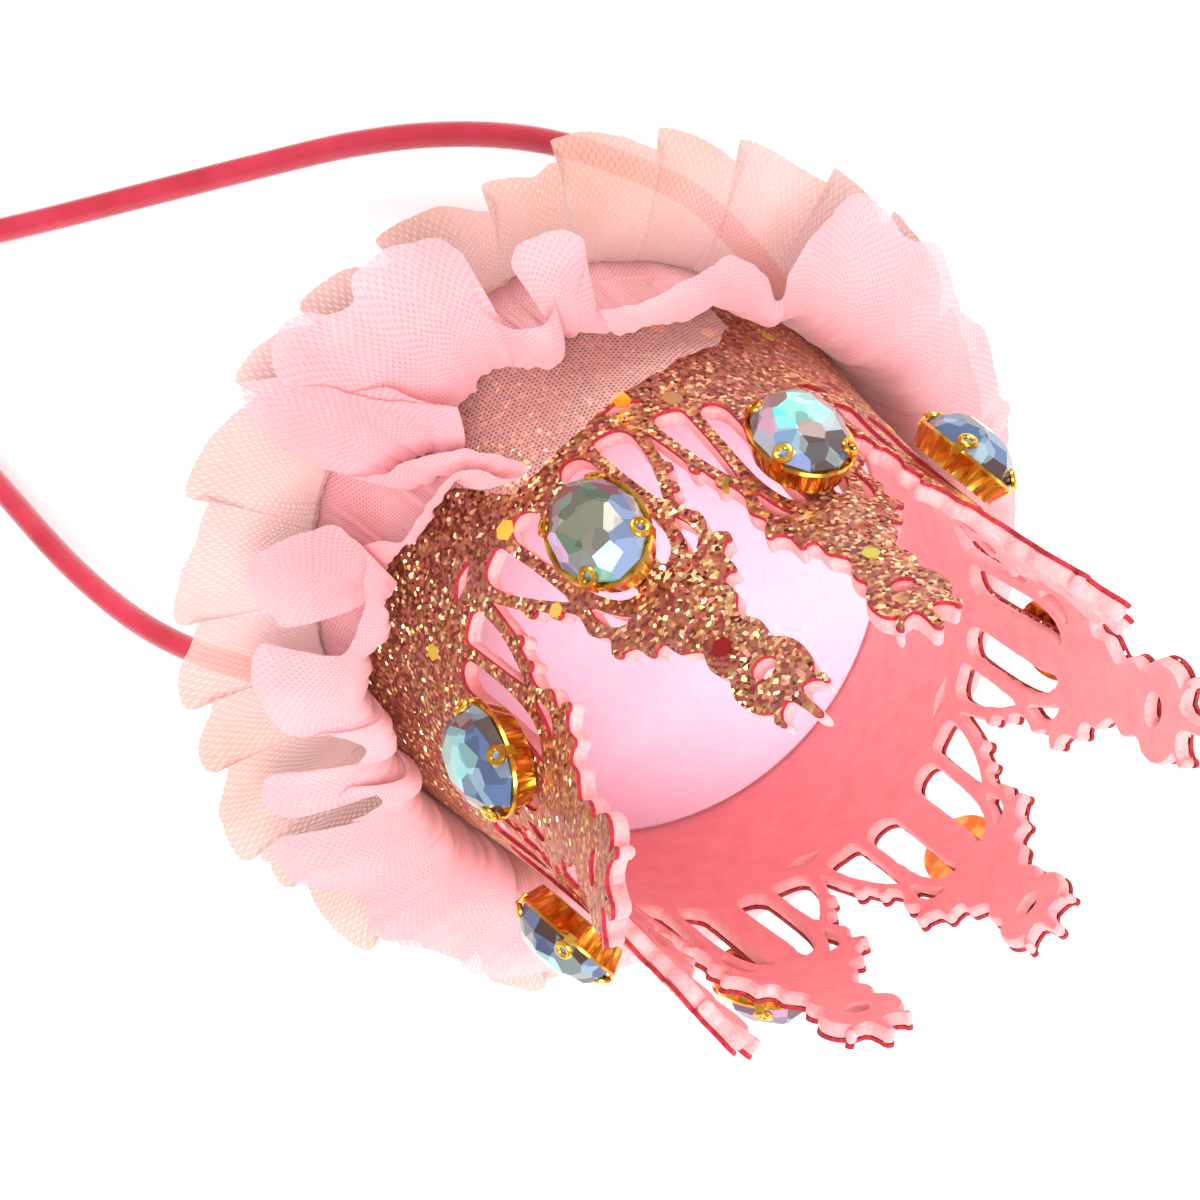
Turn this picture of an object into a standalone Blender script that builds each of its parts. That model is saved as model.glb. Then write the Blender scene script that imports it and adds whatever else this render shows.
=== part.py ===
"""Jewelled fabric crown on a narrow satin headband, lying on its side.

A ring of glitter sheet backed with felt is cut into eight pierced points. Each point carries an
oval stone in a claw setting, two gathered tulle tiers stand round the foot, and the arch of a
wrapped headband passes below it. Lengths in the tables are millimetres; +Z is up.

The crown is drawn round its own axis: its foot is at height 0, the points rise along +Z, and
point 1 stands at +Y with the others following clockwise. An empty then lays it on its side.
"""

import math
from collections import namedtuple

import bmesh
import bpy
from mathutils import Matrix, Vector, geometry

MM = 0.001
SHARP_ANGLE = math.radians(40)

# Wall of the crown: an upright oval ring that narrows towards its points
POINTS = 8
FOOT_RADIUS = 36.0
HEIGHT = 68.0
VALLEY_HEIGHT = 29.2
STONE_HEIGHT = 39.2
TAPER, TAPER_EASE = -16.9, 5.0
FOOT_OVAL, TOP_OVAL = 0.06, -0.09
LEAN_START = 9.0
SPLIT_RISE = 11.0
PITCH = math.tau / POINTS
HALF_PITCH = FOOT_RADIUS * PITCH / 2

GLITTER_THICKNESS = 0.8
FELT_THICKNESS = 1.2
FELT_MARGIN = 0.35
BEND_LEVELS = (14.0, 34.0, 50.0)
FIT = 0.3
WELD = 0.01
DISC_THICKNESS = 1.8
DISC_BASE = 0.6
DISC_SIDES = 4 * POINTS

# How far each point leans in from the even wall, and sideways (clockwise), half way up and at
# its tip
Lean = namedtuple("Lean", "in_middle in_tip side_middle side_tip")
LEANS = (
    Lean(0.5, 3.6, 1.0, 1.4),
    Lean(2.9, 4.0, 0.9, -0.5),
    Lean(1.2, -0.4, -2.3, 0.2),
    Lean(-3.3, -6.8, -1.2, -4.0),
    Lean(-3.3, 0.5, -0.6, -0.7),
    Lean(-1.4, 2.3, 0.7, 2.9),
    Lean(0.5, -0.2, 1.4, 1.0),
    Lean(-0.3, -7.1, 0.2, -1.0),
)

# Right half of one point's outline, from the valley up to the tip. Each row is an arc (centre,
# radius, first and last angle in degrees), and a radius of 0 is a corner. Small trims are left
# out of the felt, whose margin covers them.
Arc = namedtuple("Arc", "name across up radius first last pieces trim")
OUTLINE = (
    Arc("valley", HALF_PITCH, VALLEY_HEIGHT, 0.0, 0, 0, 0, False),
    Arc("lower bump", 12.5, 35.2, 0.7, -74, 126, 2, True),
    Arc("upper bump", 10.9, 38.2, 0.7, -74, 126, 2, True),
    Arc("cusp", 9.5, 40.6, 0.0, 0, 0, 0, False),
    Arc("shoulder", 9.6, 43.2, 1.2, -60, 60, 2, False),
    Arc("shoulder notch", 9.5, 45.4, 0.0, 0, 0, 0, True),
    Arc("first spike", 10.8, 47.0, 0.55, -60, 120, 2, False),
    Arc("spike notch", 8.7, 48.3, 0.0, 0, 0, 0, False),
    Arc("second spike", 8.1, 50.1, 0.55, -30, 140, 2, False),
    Arc("spike foot", 6.0, 50.6, 0.0, 0, 0, 0, True),
    Arc("small lobe", 5.0, 52.2, 1.1, -20, 80, 1, True),
    Arc("neck", 3.6, 54.6, 0.0, 0, 0, 0, False),
    Arc("neck lobe", 3.7, 57.0, 1.45, -50, 60, 2, False),
    Arc("head notch", 4.6, 59.0, 0.0, 0, 0, 0, True),
    Arc("head lobe", 4.1, 61.7, 2.6, -50, 70, 3, False),
    Arc("curl notch", 3.8, 64.2, 0.0, 0, 0, 0, True),
    Arc("curl", 5.0, 65.5, 0.6, -80, 150, 2, True),
    Arc("prong foot", 1.2, 64.5, 0.0, 0, 0, 0, False),
    Arc("prong", 0.0, 67.2, 0.8, 0, 90, 1, False),
)

# The cut-outs on the right of a point's middle line, anticlockwise
INNER_DROP = (
    Arc("round foot", 4.4, 29.2, 2.1, 180, 360, 3, False),
    Arc("outer side", 6.5, 38.5, 0.0, 0, 0, 0, False),
    Arc("outer top", 5.9, 42.0, 0.0, 0, 0, 0, False),
    Arc("top", 4.6, 44.3, 0.0, 0, 0, 0, False),
    Arc("point", 2.2, 45.2, 0.0, 0, 0, 0, False),
    Arc("inner top", 2.9, 41.5, 0.0, 0, 0, 0, False),
    Arc("inner side", 2.4, 36.0, 0.0, 0, 0, 0, False),
)
OUTER_DROP = (
    Arc("inner foot", 8.9, 27.8, 0.9, 180, 270, 1, False),
    Arc("outer foot", 10.8, 28.6, 1.7, 270, 360, 2, False),
    Arc("outer side", 12.1, 31.4, 0.0, 0, 0, 0, False),
    Arc("outer middle", 11.0, 34.6, 0.0, 0, 0, 0, False),
    Arc("outer top", 9.5, 37.6, 0.0, 0, 0, 0, False),
    Arc("point", 8.5, 39.3, 0.0, 0, 0, 0, False),
)
SHOULDER_DROP = (
    Arc("point", 7.9, 41.0, 0.0, 0, 0, 0, False),
    Arc("outer side", 8.6, 42.6, 0.0, 0, 0, 0, False),
    Arc("outer top", 8.5, 44.5, 0.0, 0, 0, 0, False),
    Arc("top", 7.3, 45.8, 0.0, 0, 0, 0, False),
    Arc("inner point", 5.5, 46.1, 0.0, 0, 0, 0, False),
    Arc("inner side", 6.9, 44.2, 0.0, 0, 0, 0, False),
)
DIAMOND = {"across": 0.0, "up": 60.6, "long": 2.2, "wide": 1.1, "turn": 0, "sides": 6}
VALLEY_SLIT = {"up": 24.4, "long": 3.1, "wide": 0.9}

# Stones and their claw settings, on the wall's outer face
STONE_LENGTH, STONE_WIDTH = 13.0, 9.4
STONE_SIDES = 10
StoneRing = namedtuple("StoneRing", "share height")
STONE_RINGS = (
    StoneRing(0.62, 1.7),
    StoneRing(1.0, 3.7),
    StoneRing(1.0, 4.1),
    StoneRing(0.84, 5.7),
    StoneRing(0.50, 6.6),
)
SETTING_SIDES = 12
SETTING_BASE, SETTING_FLOOR, SETTING_RIM = 0.65, 0.5, 4.1
SETTING_WALL, CUP_DRAFT = 0.6, 0.8
CLAW_FACES = (1, 4, 7, 10)
CLAW_RISE, CLAW_BEND, CLAW_REACH = 1.4, 0.5, 1.2

# Tulle tiers: a strip gathered to the foot of the wall, with waves that grow towards the hem
TULLE_THICKNESS = 1.0
TIER_CLEARANCE = 0.5
FOLD_GROWTH = 1.3
# The even folds are disturbed by slow waves, each with a count round the crown, a phase and a
# size. They move the hem in and out, and up and down, by these shares of a fold's own wave.
SlowWave = namedtuple("SlowWave", "count phase size")
SLOW_WAVES = (SlowWave(3, 0.6, 1.0), SlowWave(5, 0.0, 0.6))
SLOW_OUT, SLOW_UP = 0.35, 0.25
# The hem's ring is shifted off the crown's axis, by so much and towards that many degrees.
Tier = namedtuple(
    "Tier", "name folds steps rows root_up hem_radius shift towards hem_up wave_out wave_up sway"
)
TIERS = (
    Tier("tulle_outer_tier", 26, 4, 2, 1.0, 50.6, 1.6, 140, 4.2, 1.6, 2.2, 0.0),
    Tier("tulle_inner_tier", 16, 6, 2, 5.2, 43.8, 3.6, 95, 15.0, 2.2, 2.0, 0.12),
)
# The loose sheer piece that hangs over the wall between the first two points
DRAPE_FIRST, DRAPE_LAST = 91.0, 45.0
DRAPE_TOP, DRAPE_COLUMNS, DRAPE_ROWS = 7.0, 8, 3
DRAPE_HEMS = (19.0, 28.0, 27.5, 26.0, 24.5, 24.0, 23.6, 23.0, 21.5)
DRAPE_OFF, DRAPE_SWELL = 1.1, 1.2

# Headband: an arch in a plane that leans from the crown's axis. Its route is measured across
# the arch and down from its top.
BAND_LEAN = math.radians(28.6)
BAND_TOP_BACK, BAND_TOP_DROP = -24.7, 1.9
BAND_THICKNESS, BAND_WIDTH = 3.4, 4.2
BAND_SIDES, BAND_PIECES = 8, 2
Stop = namedtuple("Stop", "across down")
BAND_ROUTE = (
    Stop(-46.5, 150.0),
    Stop(-48.0, 130.0),
    Stop(-49.1, 109.0),
    Stop(-49.6, 88.0),
    Stop(-47.5, 70.5),
    Stop(-41.5, 54.0),
    Stop(-31.0, 33.0),
    Stop(-17.0, 10.5),
    Stop(-3.0, 0.8),
    Stop(12.0, 0.4),
    Stop(27.0, 8.0),
    Stop(38.0, 24.0),
    Stop(43.5, 46.0),
    Stop(42.0, 61.5),
    Stop(37.6, 76.0),
    Stop(30.5, 89.0),
    Stop(21.5, 100.5),
    Stop(10.0, 112.0),
    Stop(-2.5, 124.0),
    Stop(-15.5, 136.5),
    Stop(-29.0, 150.0),
)

# Rest: the crown lies on its tulle and on the band's two ends, with its points raised
REST_TILT = math.radians(34.1)
FLOOR_UP = Vector((0.0, math.cos(REST_TILT), math.sin(REST_TILT)))


def clear_scene():
    for obj in list(bpy.data.objects):
        bpy.data.objects.remove(obj, do_unlink=True)


def material(name, colour, roughness, metallic=0.0):
    made = bpy.data.materials.new(name)
    made.use_nodes = True
    shader = made.node_tree.nodes["Principled BSDF"]
    shader.inputs["Base Color"].default_value = (*colour, 1.0)
    shader.inputs["Roughness"].default_value = roughness
    shader.inputs["Metallic"].default_value = metallic
    return made


def finish(name, bm, look, parent, smooth=True):
    """Turns a bmesh in millimetres into a named object under the crown's empty."""
    bmesh.ops.scale(bm, vec=Vector((MM, MM, MM)), verts=bm.verts)
    mesh = bpy.data.meshes.new(name)
    bm.to_mesh(mesh)
    bm.free()
    if smooth:
        mesh.shade_smooth()
        mesh.set_sharp_from_angle(angle=SHARP_ANGLE)
    mesh.materials.append(look)
    obj = bpy.data.objects.new(name, mesh)
    bpy.context.collection.objects.link(obj)
    obj.parent = parent
    return obj


def thicken(obj, thickness, offset):
    wall = obj.modifiers.new("wall", "SOLIDIFY")
    wall.thickness = thickness * MM
    wall.offset = offset


def smooth_step(value):
    value = min(max(value, 0.0), 1.0)
    return value * value * (3 - 2 * value)


# The wall: where a place on the flat pattern comes to lie


def wall_radius(angle, up):
    share = up / HEIGHT
    oval = FOOT_OVAL + (TOP_OVAL - FOOT_OVAL) * share
    even = FOOT_RADIUS + TAPER * share + TAPER_EASE * share**2
    return even * (1 + oval * math.cos(2 * (angle - math.pi / 2)))


def point_lean(point, up):
    """The inward and sideways lean of one point: parabolas through its middle and its tip."""
    row = LEANS[point % POINTS]
    rise = max(0.0, (up - LEAN_START) / (HEIGHT - LEAN_START))
    middle = (STONE_HEIGHT - LEAN_START) / (HEIGHT - LEAN_START)

    def parabola(at_middle, at_tip):
        bend = (at_tip - at_middle / middle) / (1 - middle)
        return (at_tip - bend) * rise + bend * rise**2

    return Vector(
        (parabola(row.in_middle, row.in_tip), parabola(row.side_middle, row.side_tip))
    )


def wall_place(point, across, up, out=0.0):
    """The place of (across, up) on one point's flat pattern, out from the wall's outer face."""
    angle = math.pi / 2 - point * PITCH - across / FOOT_RADIUS
    neighbour = point + (1 if across > 0 else -1)
    own = 1 - 0.5 * min(abs(across) / HALF_PITCH, 1.0) ** 2
    own += (1 - own) * smooth_step((up - VALLEY_HEIGHT) / SPLIT_RISE)
    lean = point_lean(point, up) * own + point_lean(neighbour, up) * (1 - own)
    radius = wall_radius(angle, up) - lean.x + out
    outward = Vector((math.cos(angle), math.sin(angle), 0.0))
    clockwise = Vector((math.sin(angle), -math.cos(angle), 0.0))
    return outward * radius + clockwise * lean.y + Vector((0.0, 0.0, up))


def wall_frame(point, up):
    """Axes on the wall's outer face: across, up along the wall, and out of it."""
    step = 1.0
    origin = wall_place(point, 0.0, up)
    along = (wall_place(point, 0.0, up + step) - wall_place(point, 0.0, up - step)).normalized()
    side = wall_place(point, step, up) - wall_place(point, -step, up)
    out = along.cross(side).normalized()
    if out.xy.dot(origin.xy) < 0:
        out = -out
    side = along.cross(out).normalized()
    return Matrix((side, along, out)).transposed().to_4x4(), origin


# The flat pattern of one point


def arc_points(rows, trimmed=False):
    points = []
    for row in rows:
        if trimmed and row.trim:
            continue
        if row.radius == 0.0:
            points.append(Vector((row.across, row.up)))
            continue
        for i in range(row.pieces + 1):
            angle = math.radians(row.first + (row.last - row.first) * i / row.pieces)
            points.append(
                Vector((row.across, row.up))
                + row.radius * Vector((math.cos(angle), math.sin(angle)))
            )
    return points


def mirrored(points):
    return [Vector((-p.x, p.y)) for p in reversed(points)]


def oval_points(across, up, long, wide, turn, sides):
    spin = Matrix.Rotation(math.radians(turn), 2)
    ring = (math.tau * i / sides for i in range(sides))
    return [
        Vector((across, up)) + spin @ Vector((long * math.cos(a), wide * math.sin(a)))
        for a in ring
    ]


def grown(points, margin, closed=True):
    """The outline moved to its right by the margin: outwards where it runs anticlockwise."""
    moved = []
    last = len(points) - 1
    for i, place in enumerate(points):
        before = points[i - 1] if closed or i else place
        after = points[(i + 1) % len(points)] if closed or i < last else place
        run = after - before
        normal = Vector((run.y, -run.x)).normalized()
        moved.append(place + normal * margin)
    return moved


def point_pattern(margin):
    """One point's outline and cut-outs, anticlockwise, from one valley's middle to the next."""
    edge = grown(arc_points(OUTLINE, trimmed=margin > 0), margin, closed=False)
    edge[0].x, edge[-1].x = HALF_PITCH, 0.0
    slit = VALLEY_SLIT["wide"] - margin / 2
    half_slit = [
        Vector((HALF_PITCH, VALLEY_SLIT["up"] - slit)),
        Vector((HALF_PITCH - VALLEY_SLIT["long"], VALLEY_SLIT["up"])),
        Vector((HALF_PITCH, VALLEY_SLIT["up"] + slit)),
    ]
    right = [Vector((HALF_PITCH, 0.0)), *half_slit, *edge]
    outline = right + mirrored(right[:-1])
    holes = [
        grown(arc_points(drop), -margin) for drop in (INNER_DROP, OUTER_DROP, SHOULDER_DROP)
    ]
    holes += [mirrored(hole) for hole in holes]
    holes.append(grown(oval_points(**DIAMOND), -margin / 2))
    return outline, holes


def cut_pattern(outline, holes):
    """Triangles of the pattern, cut along level and upright lines so that it can bend."""
    places, loops, cuts = [], [], []
    for loop in (outline, *holes):
        first = len(places)
        places += loop
        loops.append(list(range(first, len(places))))
    over = FELT_THICKNESS
    uprights = (-HALF_PITCH / 2, 0.0, HALF_PITCH / 2)
    lines = [((x, -over), (x, HEIGHT + over)) for x in uprights]
    lines += [((-HALF_PITCH - over, up), (HALF_PITCH + over, up)) for up in BEND_LEVELS]
    for start, end in lines:
        cuts.append((len(places), len(places) + 1))
        places += [Vector(start), Vector(end)]
    made = geometry.delaunay_2d_cdt(places, cuts, loops, 0, 1e-4)
    triangles = [face for face, origin in zip(made[2], made[5]) if list(origin) == [0]]
    return made[0], triangles


def pierced_sheet(name, out, thickness, margin, look, parent):
    """The ring of eight points, bent to the wall, with its outer face at the distance out."""
    places, triangles = cut_pattern(*point_pattern(margin))
    bm = bmesh.new()
    for point in range(POINTS):
        verts = [bm.verts.new(wall_place(point, p.x, p.y, out)) for p in places]
        for triangle in triangles:
            bm.faces.new([verts[i] for i in reversed(triangle)])
    loose = [vert for vert in bm.verts if not vert.link_faces]
    bmesh.ops.delete(bm, geom=loose, context="VERTS")
    bmesh.ops.remove_doubles(bm, verts=bm.verts, dist=WELD)
    bmesh.ops.recalc_face_normals(bm, faces=bm.faces)
    face = max(bm.faces, key=lambda f: f.calc_area())
    if face.normal.xy.dot(face.calc_center_median().xy) < 0:
        bmesh.ops.reverse_faces(bm, faces=bm.faces)
    obj = finish(name, bm, look, parent)
    thicken(obj, thickness, -1.0)
    return obj


def floor_disc(look, parent):
    clearance = GLITTER_THICKNESS + FELT_THICKNESS + 2 * FIT
    bm = bmesh.new()
    ring = []
    for i in range(DISC_SIDES):
        angle = math.tau * i / DISC_SIDES
        radius = wall_radius(angle, DISC_BASE + DISC_THICKNESS) - clearance
        ring.append(bm.verts.new((radius * math.cos(angle), radius * math.sin(angle), DISC_BASE)))
    base = bm.faces.new(ring)
    top = bmesh.ops.extrude_face_region(bm, geom=[base])["geom"]
    raised = [v for v in top if isinstance(v, bmesh.types.BMVert)]
    bmesh.ops.translate(bm, verts=raised, vec=(0.0, 0.0, DISC_THICKNESS))
    bmesh.ops.recalc_face_normals(bm, faces=bm.faces)
    return finish("crown_floor", bm, look, parent)


# Stones and settings


def oval_ring(bm, sides, half_length, half_width, height, turn=0.0):
    ring = []
    for i in range(sides):
        angle = math.tau * i / sides + turn
        ring.append(
            bm.verts.new((half_width * math.sin(angle), half_length * math.cos(angle), height))
        )
    return ring


def bridge(bm, lower, upper):
    faces = []
    for i in range(len(lower)):
        after = (i + 1) % len(lower)
        faces.append(bm.faces.new((lower[i], lower[after], upper[after], upper[i])))
    return faces


def stone_mesh():
    bm = bmesh.new()
    rings = [
        oval_ring(
            bm, STONE_SIDES, STONE_LENGTH / 2 * row.share, STONE_WIDTH / 2 * row.share, row.height
        )
        for row in STONE_RINGS
    ]
    for lower, upper in zip(rings, rings[1:]):
        bridge(bm, lower, upper)
    bm.faces.new(rings[0])
    bm.faces.new(rings[-1])
    bmesh.ops.recalc_face_normals(bm, faces=bm.faces)
    return bm


def setting_mesh():
    """An oval cup, with four claws drawn up from its rim and bent over the stone's edge."""
    bm = bmesh.new()
    inner_length, inner_width = STONE_LENGTH / 2 + FIT, STONE_WIDTH / 2 + FIT
    length, width = inner_length + SETTING_WALL, inner_width + SETTING_WALL
    turn = math.pi / SETTING_SIDES
    outer = [
        oval_ring(
            bm, SETTING_SIDES, length - CUP_DRAFT, width - CUP_DRAFT, SETTING_BASE, turn
        ),
        oval_ring(bm, SETTING_SIDES, length, width, SETTING_RIM, turn),
    ]
    floor = SETTING_BASE + SETTING_FLOOR
    inner = [
        oval_ring(bm, SETTING_SIDES, inner_length, inner_width, SETTING_RIM, turn),
        oval_ring(
            bm, SETTING_SIDES, inner_length - CUP_DRAFT, inner_width - CUP_DRAFT, floor, turn
        ),
    ]
    bridge(bm, *outer)
    rim = bridge(bm, outer[1], inner[0])
    bridge(bm, *inner)
    bm.faces.new(outer[0])
    bm.faces.new(inner[1])
    claws = [rim[i] for i in CLAW_FACES]
    for rise, reach in ((CLAW_RISE, 0.0), (CLAW_BEND, CLAW_REACH)):
        claws = bmesh.ops.extrude_discrete_faces(bm, faces=claws)["faces"]
        for claw in claws:
            middle = claw.calc_center_median()
            inward = -Vector((middle.x, middle.y, 0.0)).normalized() * reach
            bmesh.ops.translate(bm, verts=claw.verts, vec=inward + Vector((0.0, 0.0, rise)))
    bmesh.ops.recalc_face_normals(bm, faces=bm.faces)
    return bm


def set_stones(stone_look, metal_look, parent):
    for point in range(POINTS):
        turn, place = wall_frame(point, STONE_HEIGHT)
        for name, bm, look in (
            (f"stone_{point + 1}", stone_mesh(), stone_look),
            (f"setting_{point + 1}", setting_mesh(), metal_look),
        ):
            obj = finish(name, bm, look, parent, smooth=False)
            obj.location = place * MM
            obj.rotation_euler = turn.to_euler()


# Tulle


def settle(place, clearance):
    """Lifts a place that would lie under the floor, so that cloth flattens where it rests."""
    depth = FLOOR_UP.dot(place) - floor_level() - clearance
    return place - FLOOR_UP * depth if depth < 0 else place


def tier_place(tier, turn, share):
    """A place on a tier: turn runs round the crown, and share runs from its root to its hem."""
    phase = turn * tier.folds
    swell = share**FOLD_GROWTH
    angle = turn + tier.sway * swell * math.tau / tier.folds * math.sin(2 * phase) / 2
    root = wall_radius(angle, tier.root_up) + TULLE_THICKNESS / 2 + TIER_CLEARANCE
    slow = sum(wave.size * math.sin(wave.count * turn + wave.phase) for wave in SLOW_WAVES)
    hem = tier.hem_radius + tier.shift * math.cos(angle - math.radians(tier.towards))
    radius = root + (hem - root) * share
    radius += tier.wave_out * swell * (math.sin(phase) + SLOW_OUT * slow)
    up = tier.root_up + (tier.hem_up - tier.root_up) * share
    up += tier.wave_up * swell * (math.cos(phase) + SLOW_UP * slow)
    place = Vector((radius * math.cos(angle), radius * math.sin(angle), up))
    return settle(place, TULLE_THICKNESS / 2)


def tulle_tier(tier, look, parent):
    bm = bmesh.new()
    steps = tier.folds * tier.steps
    rings = []
    for row in range(tier.rows + 1):
        turns = (math.tau * i / steps for i in range(steps))
        rings.append([bm.verts.new(tier_place(tier, t, row / tier.rows)) for t in turns])
    for lower, upper in zip(rings, rings[1:]):
        bridge(bm, lower, upper)
    obj = finish(tier.name, bm, look, parent)
    thicken(obj, TULLE_THICKNESS, 0.0)


def tulle_drape(look, parent):
    bm = bmesh.new()
    columns = []
    for i, hem in enumerate(DRAPE_HEMS):
        share = i / DRAPE_COLUMNS
        degrees = DRAPE_FIRST + (DRAPE_LAST - DRAPE_FIRST) * share
        across = math.radians(90 - degrees) * FOOT_RADIUS
        column = []
        for row in range(DRAPE_ROWS + 1):
            up = DRAPE_TOP + (hem - DRAPE_TOP) * row / DRAPE_ROWS
            out = DRAPE_OFF + DRAPE_SWELL * math.sin(math.pi * share) * (row / DRAPE_ROWS)
            column.append(bm.verts.new(wall_place(0, across, up, out)))
        columns.append(column)
    for left, right in zip(columns, columns[1:]):
        for row in range(DRAPE_ROWS):
            bm.faces.new((left[row], left[row + 1], right[row + 1], right[row]))
    obj = finish("tulle_drape", bm, look, parent)
    thicken(obj, TULLE_THICKNESS, 0.0)


# Headband


def band_axes():
    return (
        Vector((1.0, 0.0, 0.0)),
        Vector((0.0, math.sin(BAND_LEAN), -math.cos(BAND_LEAN))),
        Vector((0.0, math.cos(BAND_LEAN), math.sin(BAND_LEAN))),
    )


def band_place(stop):
    across, down, _ = band_axes()
    top = Vector((0.0, BAND_TOP_BACK, -BAND_TOP_DROP))
    return top + across * stop[0] + down * stop[1]


def floor_level():
    """How far the floor lies below the crown's foot centre, under the band's two ends."""
    ends = (band_place(BAND_ROUTE[0]), band_place(BAND_ROUTE[-1]))
    return min(FLOOR_UP.dot(end) for end in ends) - BAND_WIDTH / 2


def band_line():
    """A smooth line through the band's stops, as places across and down the arch."""
    stops = [Vector(stop) for stop in BAND_ROUTE]
    ends = [2 * stops[0] - stops[1], *stops, 2 * stops[-1] - stops[-2]]
    line = []
    for a, b, c, d in zip(ends, ends[1:], ends[2:], ends[3:]):
        first, last = b + (c - a) / 6, c - (d - b) / 6
        curve = geometry.interpolate_bezier(b, first, last, c, BAND_PIECES + 1)
        line += [Vector((p[0], p[1])) for p in curve[:-1]]
    return [*line, stops[-1]]


def headband(look, parent):
    across, down, normal = band_axes()
    line = band_line()
    bm = bmesh.new()
    rings = []
    for i, stop in enumerate(line):
        run = line[min(i + 1, len(line) - 1)] - line[max(i - 1, 0)]
        side = (across * -run.y + down * run.x).normalized()
        ring = []
        for corner in range(BAND_SIDES):
            angle = math.tau * corner / BAND_SIDES
            offset = side * BAND_THICKNESS / 2 * math.cos(angle)
            offset += normal * BAND_WIDTH / 2 * math.sin(angle)
            ring.append(bm.verts.new(band_place(stop) + offset))
        rings.append(ring)
    for lower, upper in zip(rings, rings[1:]):
        bridge(bm, lower, upper)
    bm.faces.new(rings[0])
    bm.faces.new(rings[-1])
    bmesh.ops.recalc_face_normals(bm, faces=bm.faces)
    return finish("headband", bm, look, parent)


def centre_on_floor(rest):
    """Moves the empty so that the whole object stands centred on the origin."""
    bpy.context.view_layer.update()
    graph = bpy.context.evaluated_depsgraph_get()
    low, high = Vector((1e3, 1e3, 1e3)), Vector((-1e3, -1e3, -1e3))
    for obj in rest.children:
        shape = obj.evaluated_get(graph)
        for vert in shape.data.vertices:
            place = shape.matrix_world @ vert.co
            low = Vector(map(min, low, place))
            high = Vector(map(max, high, place))
    rest.location -= Vector(((low.x + high.x) / 2, (low.y + high.y) / 2, low.z))


def main():
    clear_scene()
    rest = bpy.data.objects.new("crown_rest", None)
    bpy.context.collection.objects.link(rest)
    rest.rotation_euler.x = math.pi / 2 - REST_TILT

    glitter = material("copper_glitter", (0.52, 0.24, 0.14), 0.45, 0.5)
    felt = material("pink_felt", (0.93, 0.42, 0.44), 0.95)
    pale_felt = material("pale_felt", (0.95, 0.72, 0.80), 0.95)
    crystal = material("coated_stone", (0.52, 0.62, 0.60), 0.06)
    gold = material("gold_setting", (0.86, 0.58, 0.16), 0.25, 1.0)
    sheer = material("beige_tulle", (0.93, 0.72, 0.68), 0.9)
    pink = material("pink_tulle", (0.96, 0.62, 0.66), 0.9)
    satin = material("red_satin", (0.72, 0.16, 0.20), 0.45)

    felt_out = -GLITTER_THICKNESS - FIT
    pierced_sheet("crown_glitter", 0.0, GLITTER_THICKNESS, 0.0, glitter, rest)
    pierced_sheet("crown_felt", felt_out, FELT_THICKNESS, FELT_MARGIN, felt, rest)
    floor_disc(pale_felt, rest)
    set_stones(crystal, gold, rest)
    for tier, look in zip(TIERS, (sheer, pink)):
        tulle_tier(tier, look, rest)
    tulle_drape(sheer, rest)
    headband(satin, rest)
    centre_on_floor(rest)


main()
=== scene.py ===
"""A jewelled crown on a narrow satin headband, lying on its side on a pale table.

Each piece is laid out round the crown's own axis, as its maker would draw it: the foot at height
0, the points along +Z, point 1 at +Y and the others clockwise. It is then set on the frame.
Lengths are millimetres unless a name says otherwise.
"""

import math
import random
from collections import namedtuple

import bmesh
import bpy
from bmesh.types import BMEdge, BMFace, BMVert
from mathutils import Matrix, Vector, noise
from mathutils.bvhtree import BVHTree


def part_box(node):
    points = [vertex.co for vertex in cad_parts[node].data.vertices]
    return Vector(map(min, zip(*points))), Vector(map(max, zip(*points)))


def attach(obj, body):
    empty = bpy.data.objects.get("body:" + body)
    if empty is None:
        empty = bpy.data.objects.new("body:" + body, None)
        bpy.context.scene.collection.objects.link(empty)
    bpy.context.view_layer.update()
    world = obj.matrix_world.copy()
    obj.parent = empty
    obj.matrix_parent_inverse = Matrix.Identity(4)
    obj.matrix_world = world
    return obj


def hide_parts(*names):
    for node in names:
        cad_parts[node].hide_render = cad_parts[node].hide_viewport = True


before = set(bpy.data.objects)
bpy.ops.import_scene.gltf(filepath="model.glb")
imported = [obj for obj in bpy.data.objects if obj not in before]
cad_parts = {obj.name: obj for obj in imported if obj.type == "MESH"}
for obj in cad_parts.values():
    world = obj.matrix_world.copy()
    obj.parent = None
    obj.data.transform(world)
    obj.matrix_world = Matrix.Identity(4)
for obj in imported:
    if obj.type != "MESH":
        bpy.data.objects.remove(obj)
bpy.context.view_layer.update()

# Glitter sheet
# A craft sheet covered in copper and gold glitter, cut into eight pierced points and closed into
# a ring. Its cut edges show the dark red cloth that the glitter is bonded to.

MM = 0.001
POINTS = 8
PITCH = math.tau / POINTS
FOOT_RADIUS, HEIGHT = 36.0, 68.0
HALF_PITCH = FOOT_RADIUS * PITCH / 2
VALLEY_HEIGHT, STONE_HEIGHT = 29.2, 39.2
TAPER, TAPER_EASE = -16.9, 5.0
FOOT_OVAL, TOP_OVAL = 0.06, -0.09
LEAN_START, SPLIT_RISE = 9.0, 11.0
GLITTER_THICKNESS = 0.4
GRID, ARC_STEP, CORNER, OVAL_SIDES = 1.5, 30, 0.25, 12
EDGE_LUMPS, LUMPS_ACROSS, LUMPS_UP = 0.35, 2.9, 2.6
WELD, ON_PLANE = 0.005, 1e-5

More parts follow.
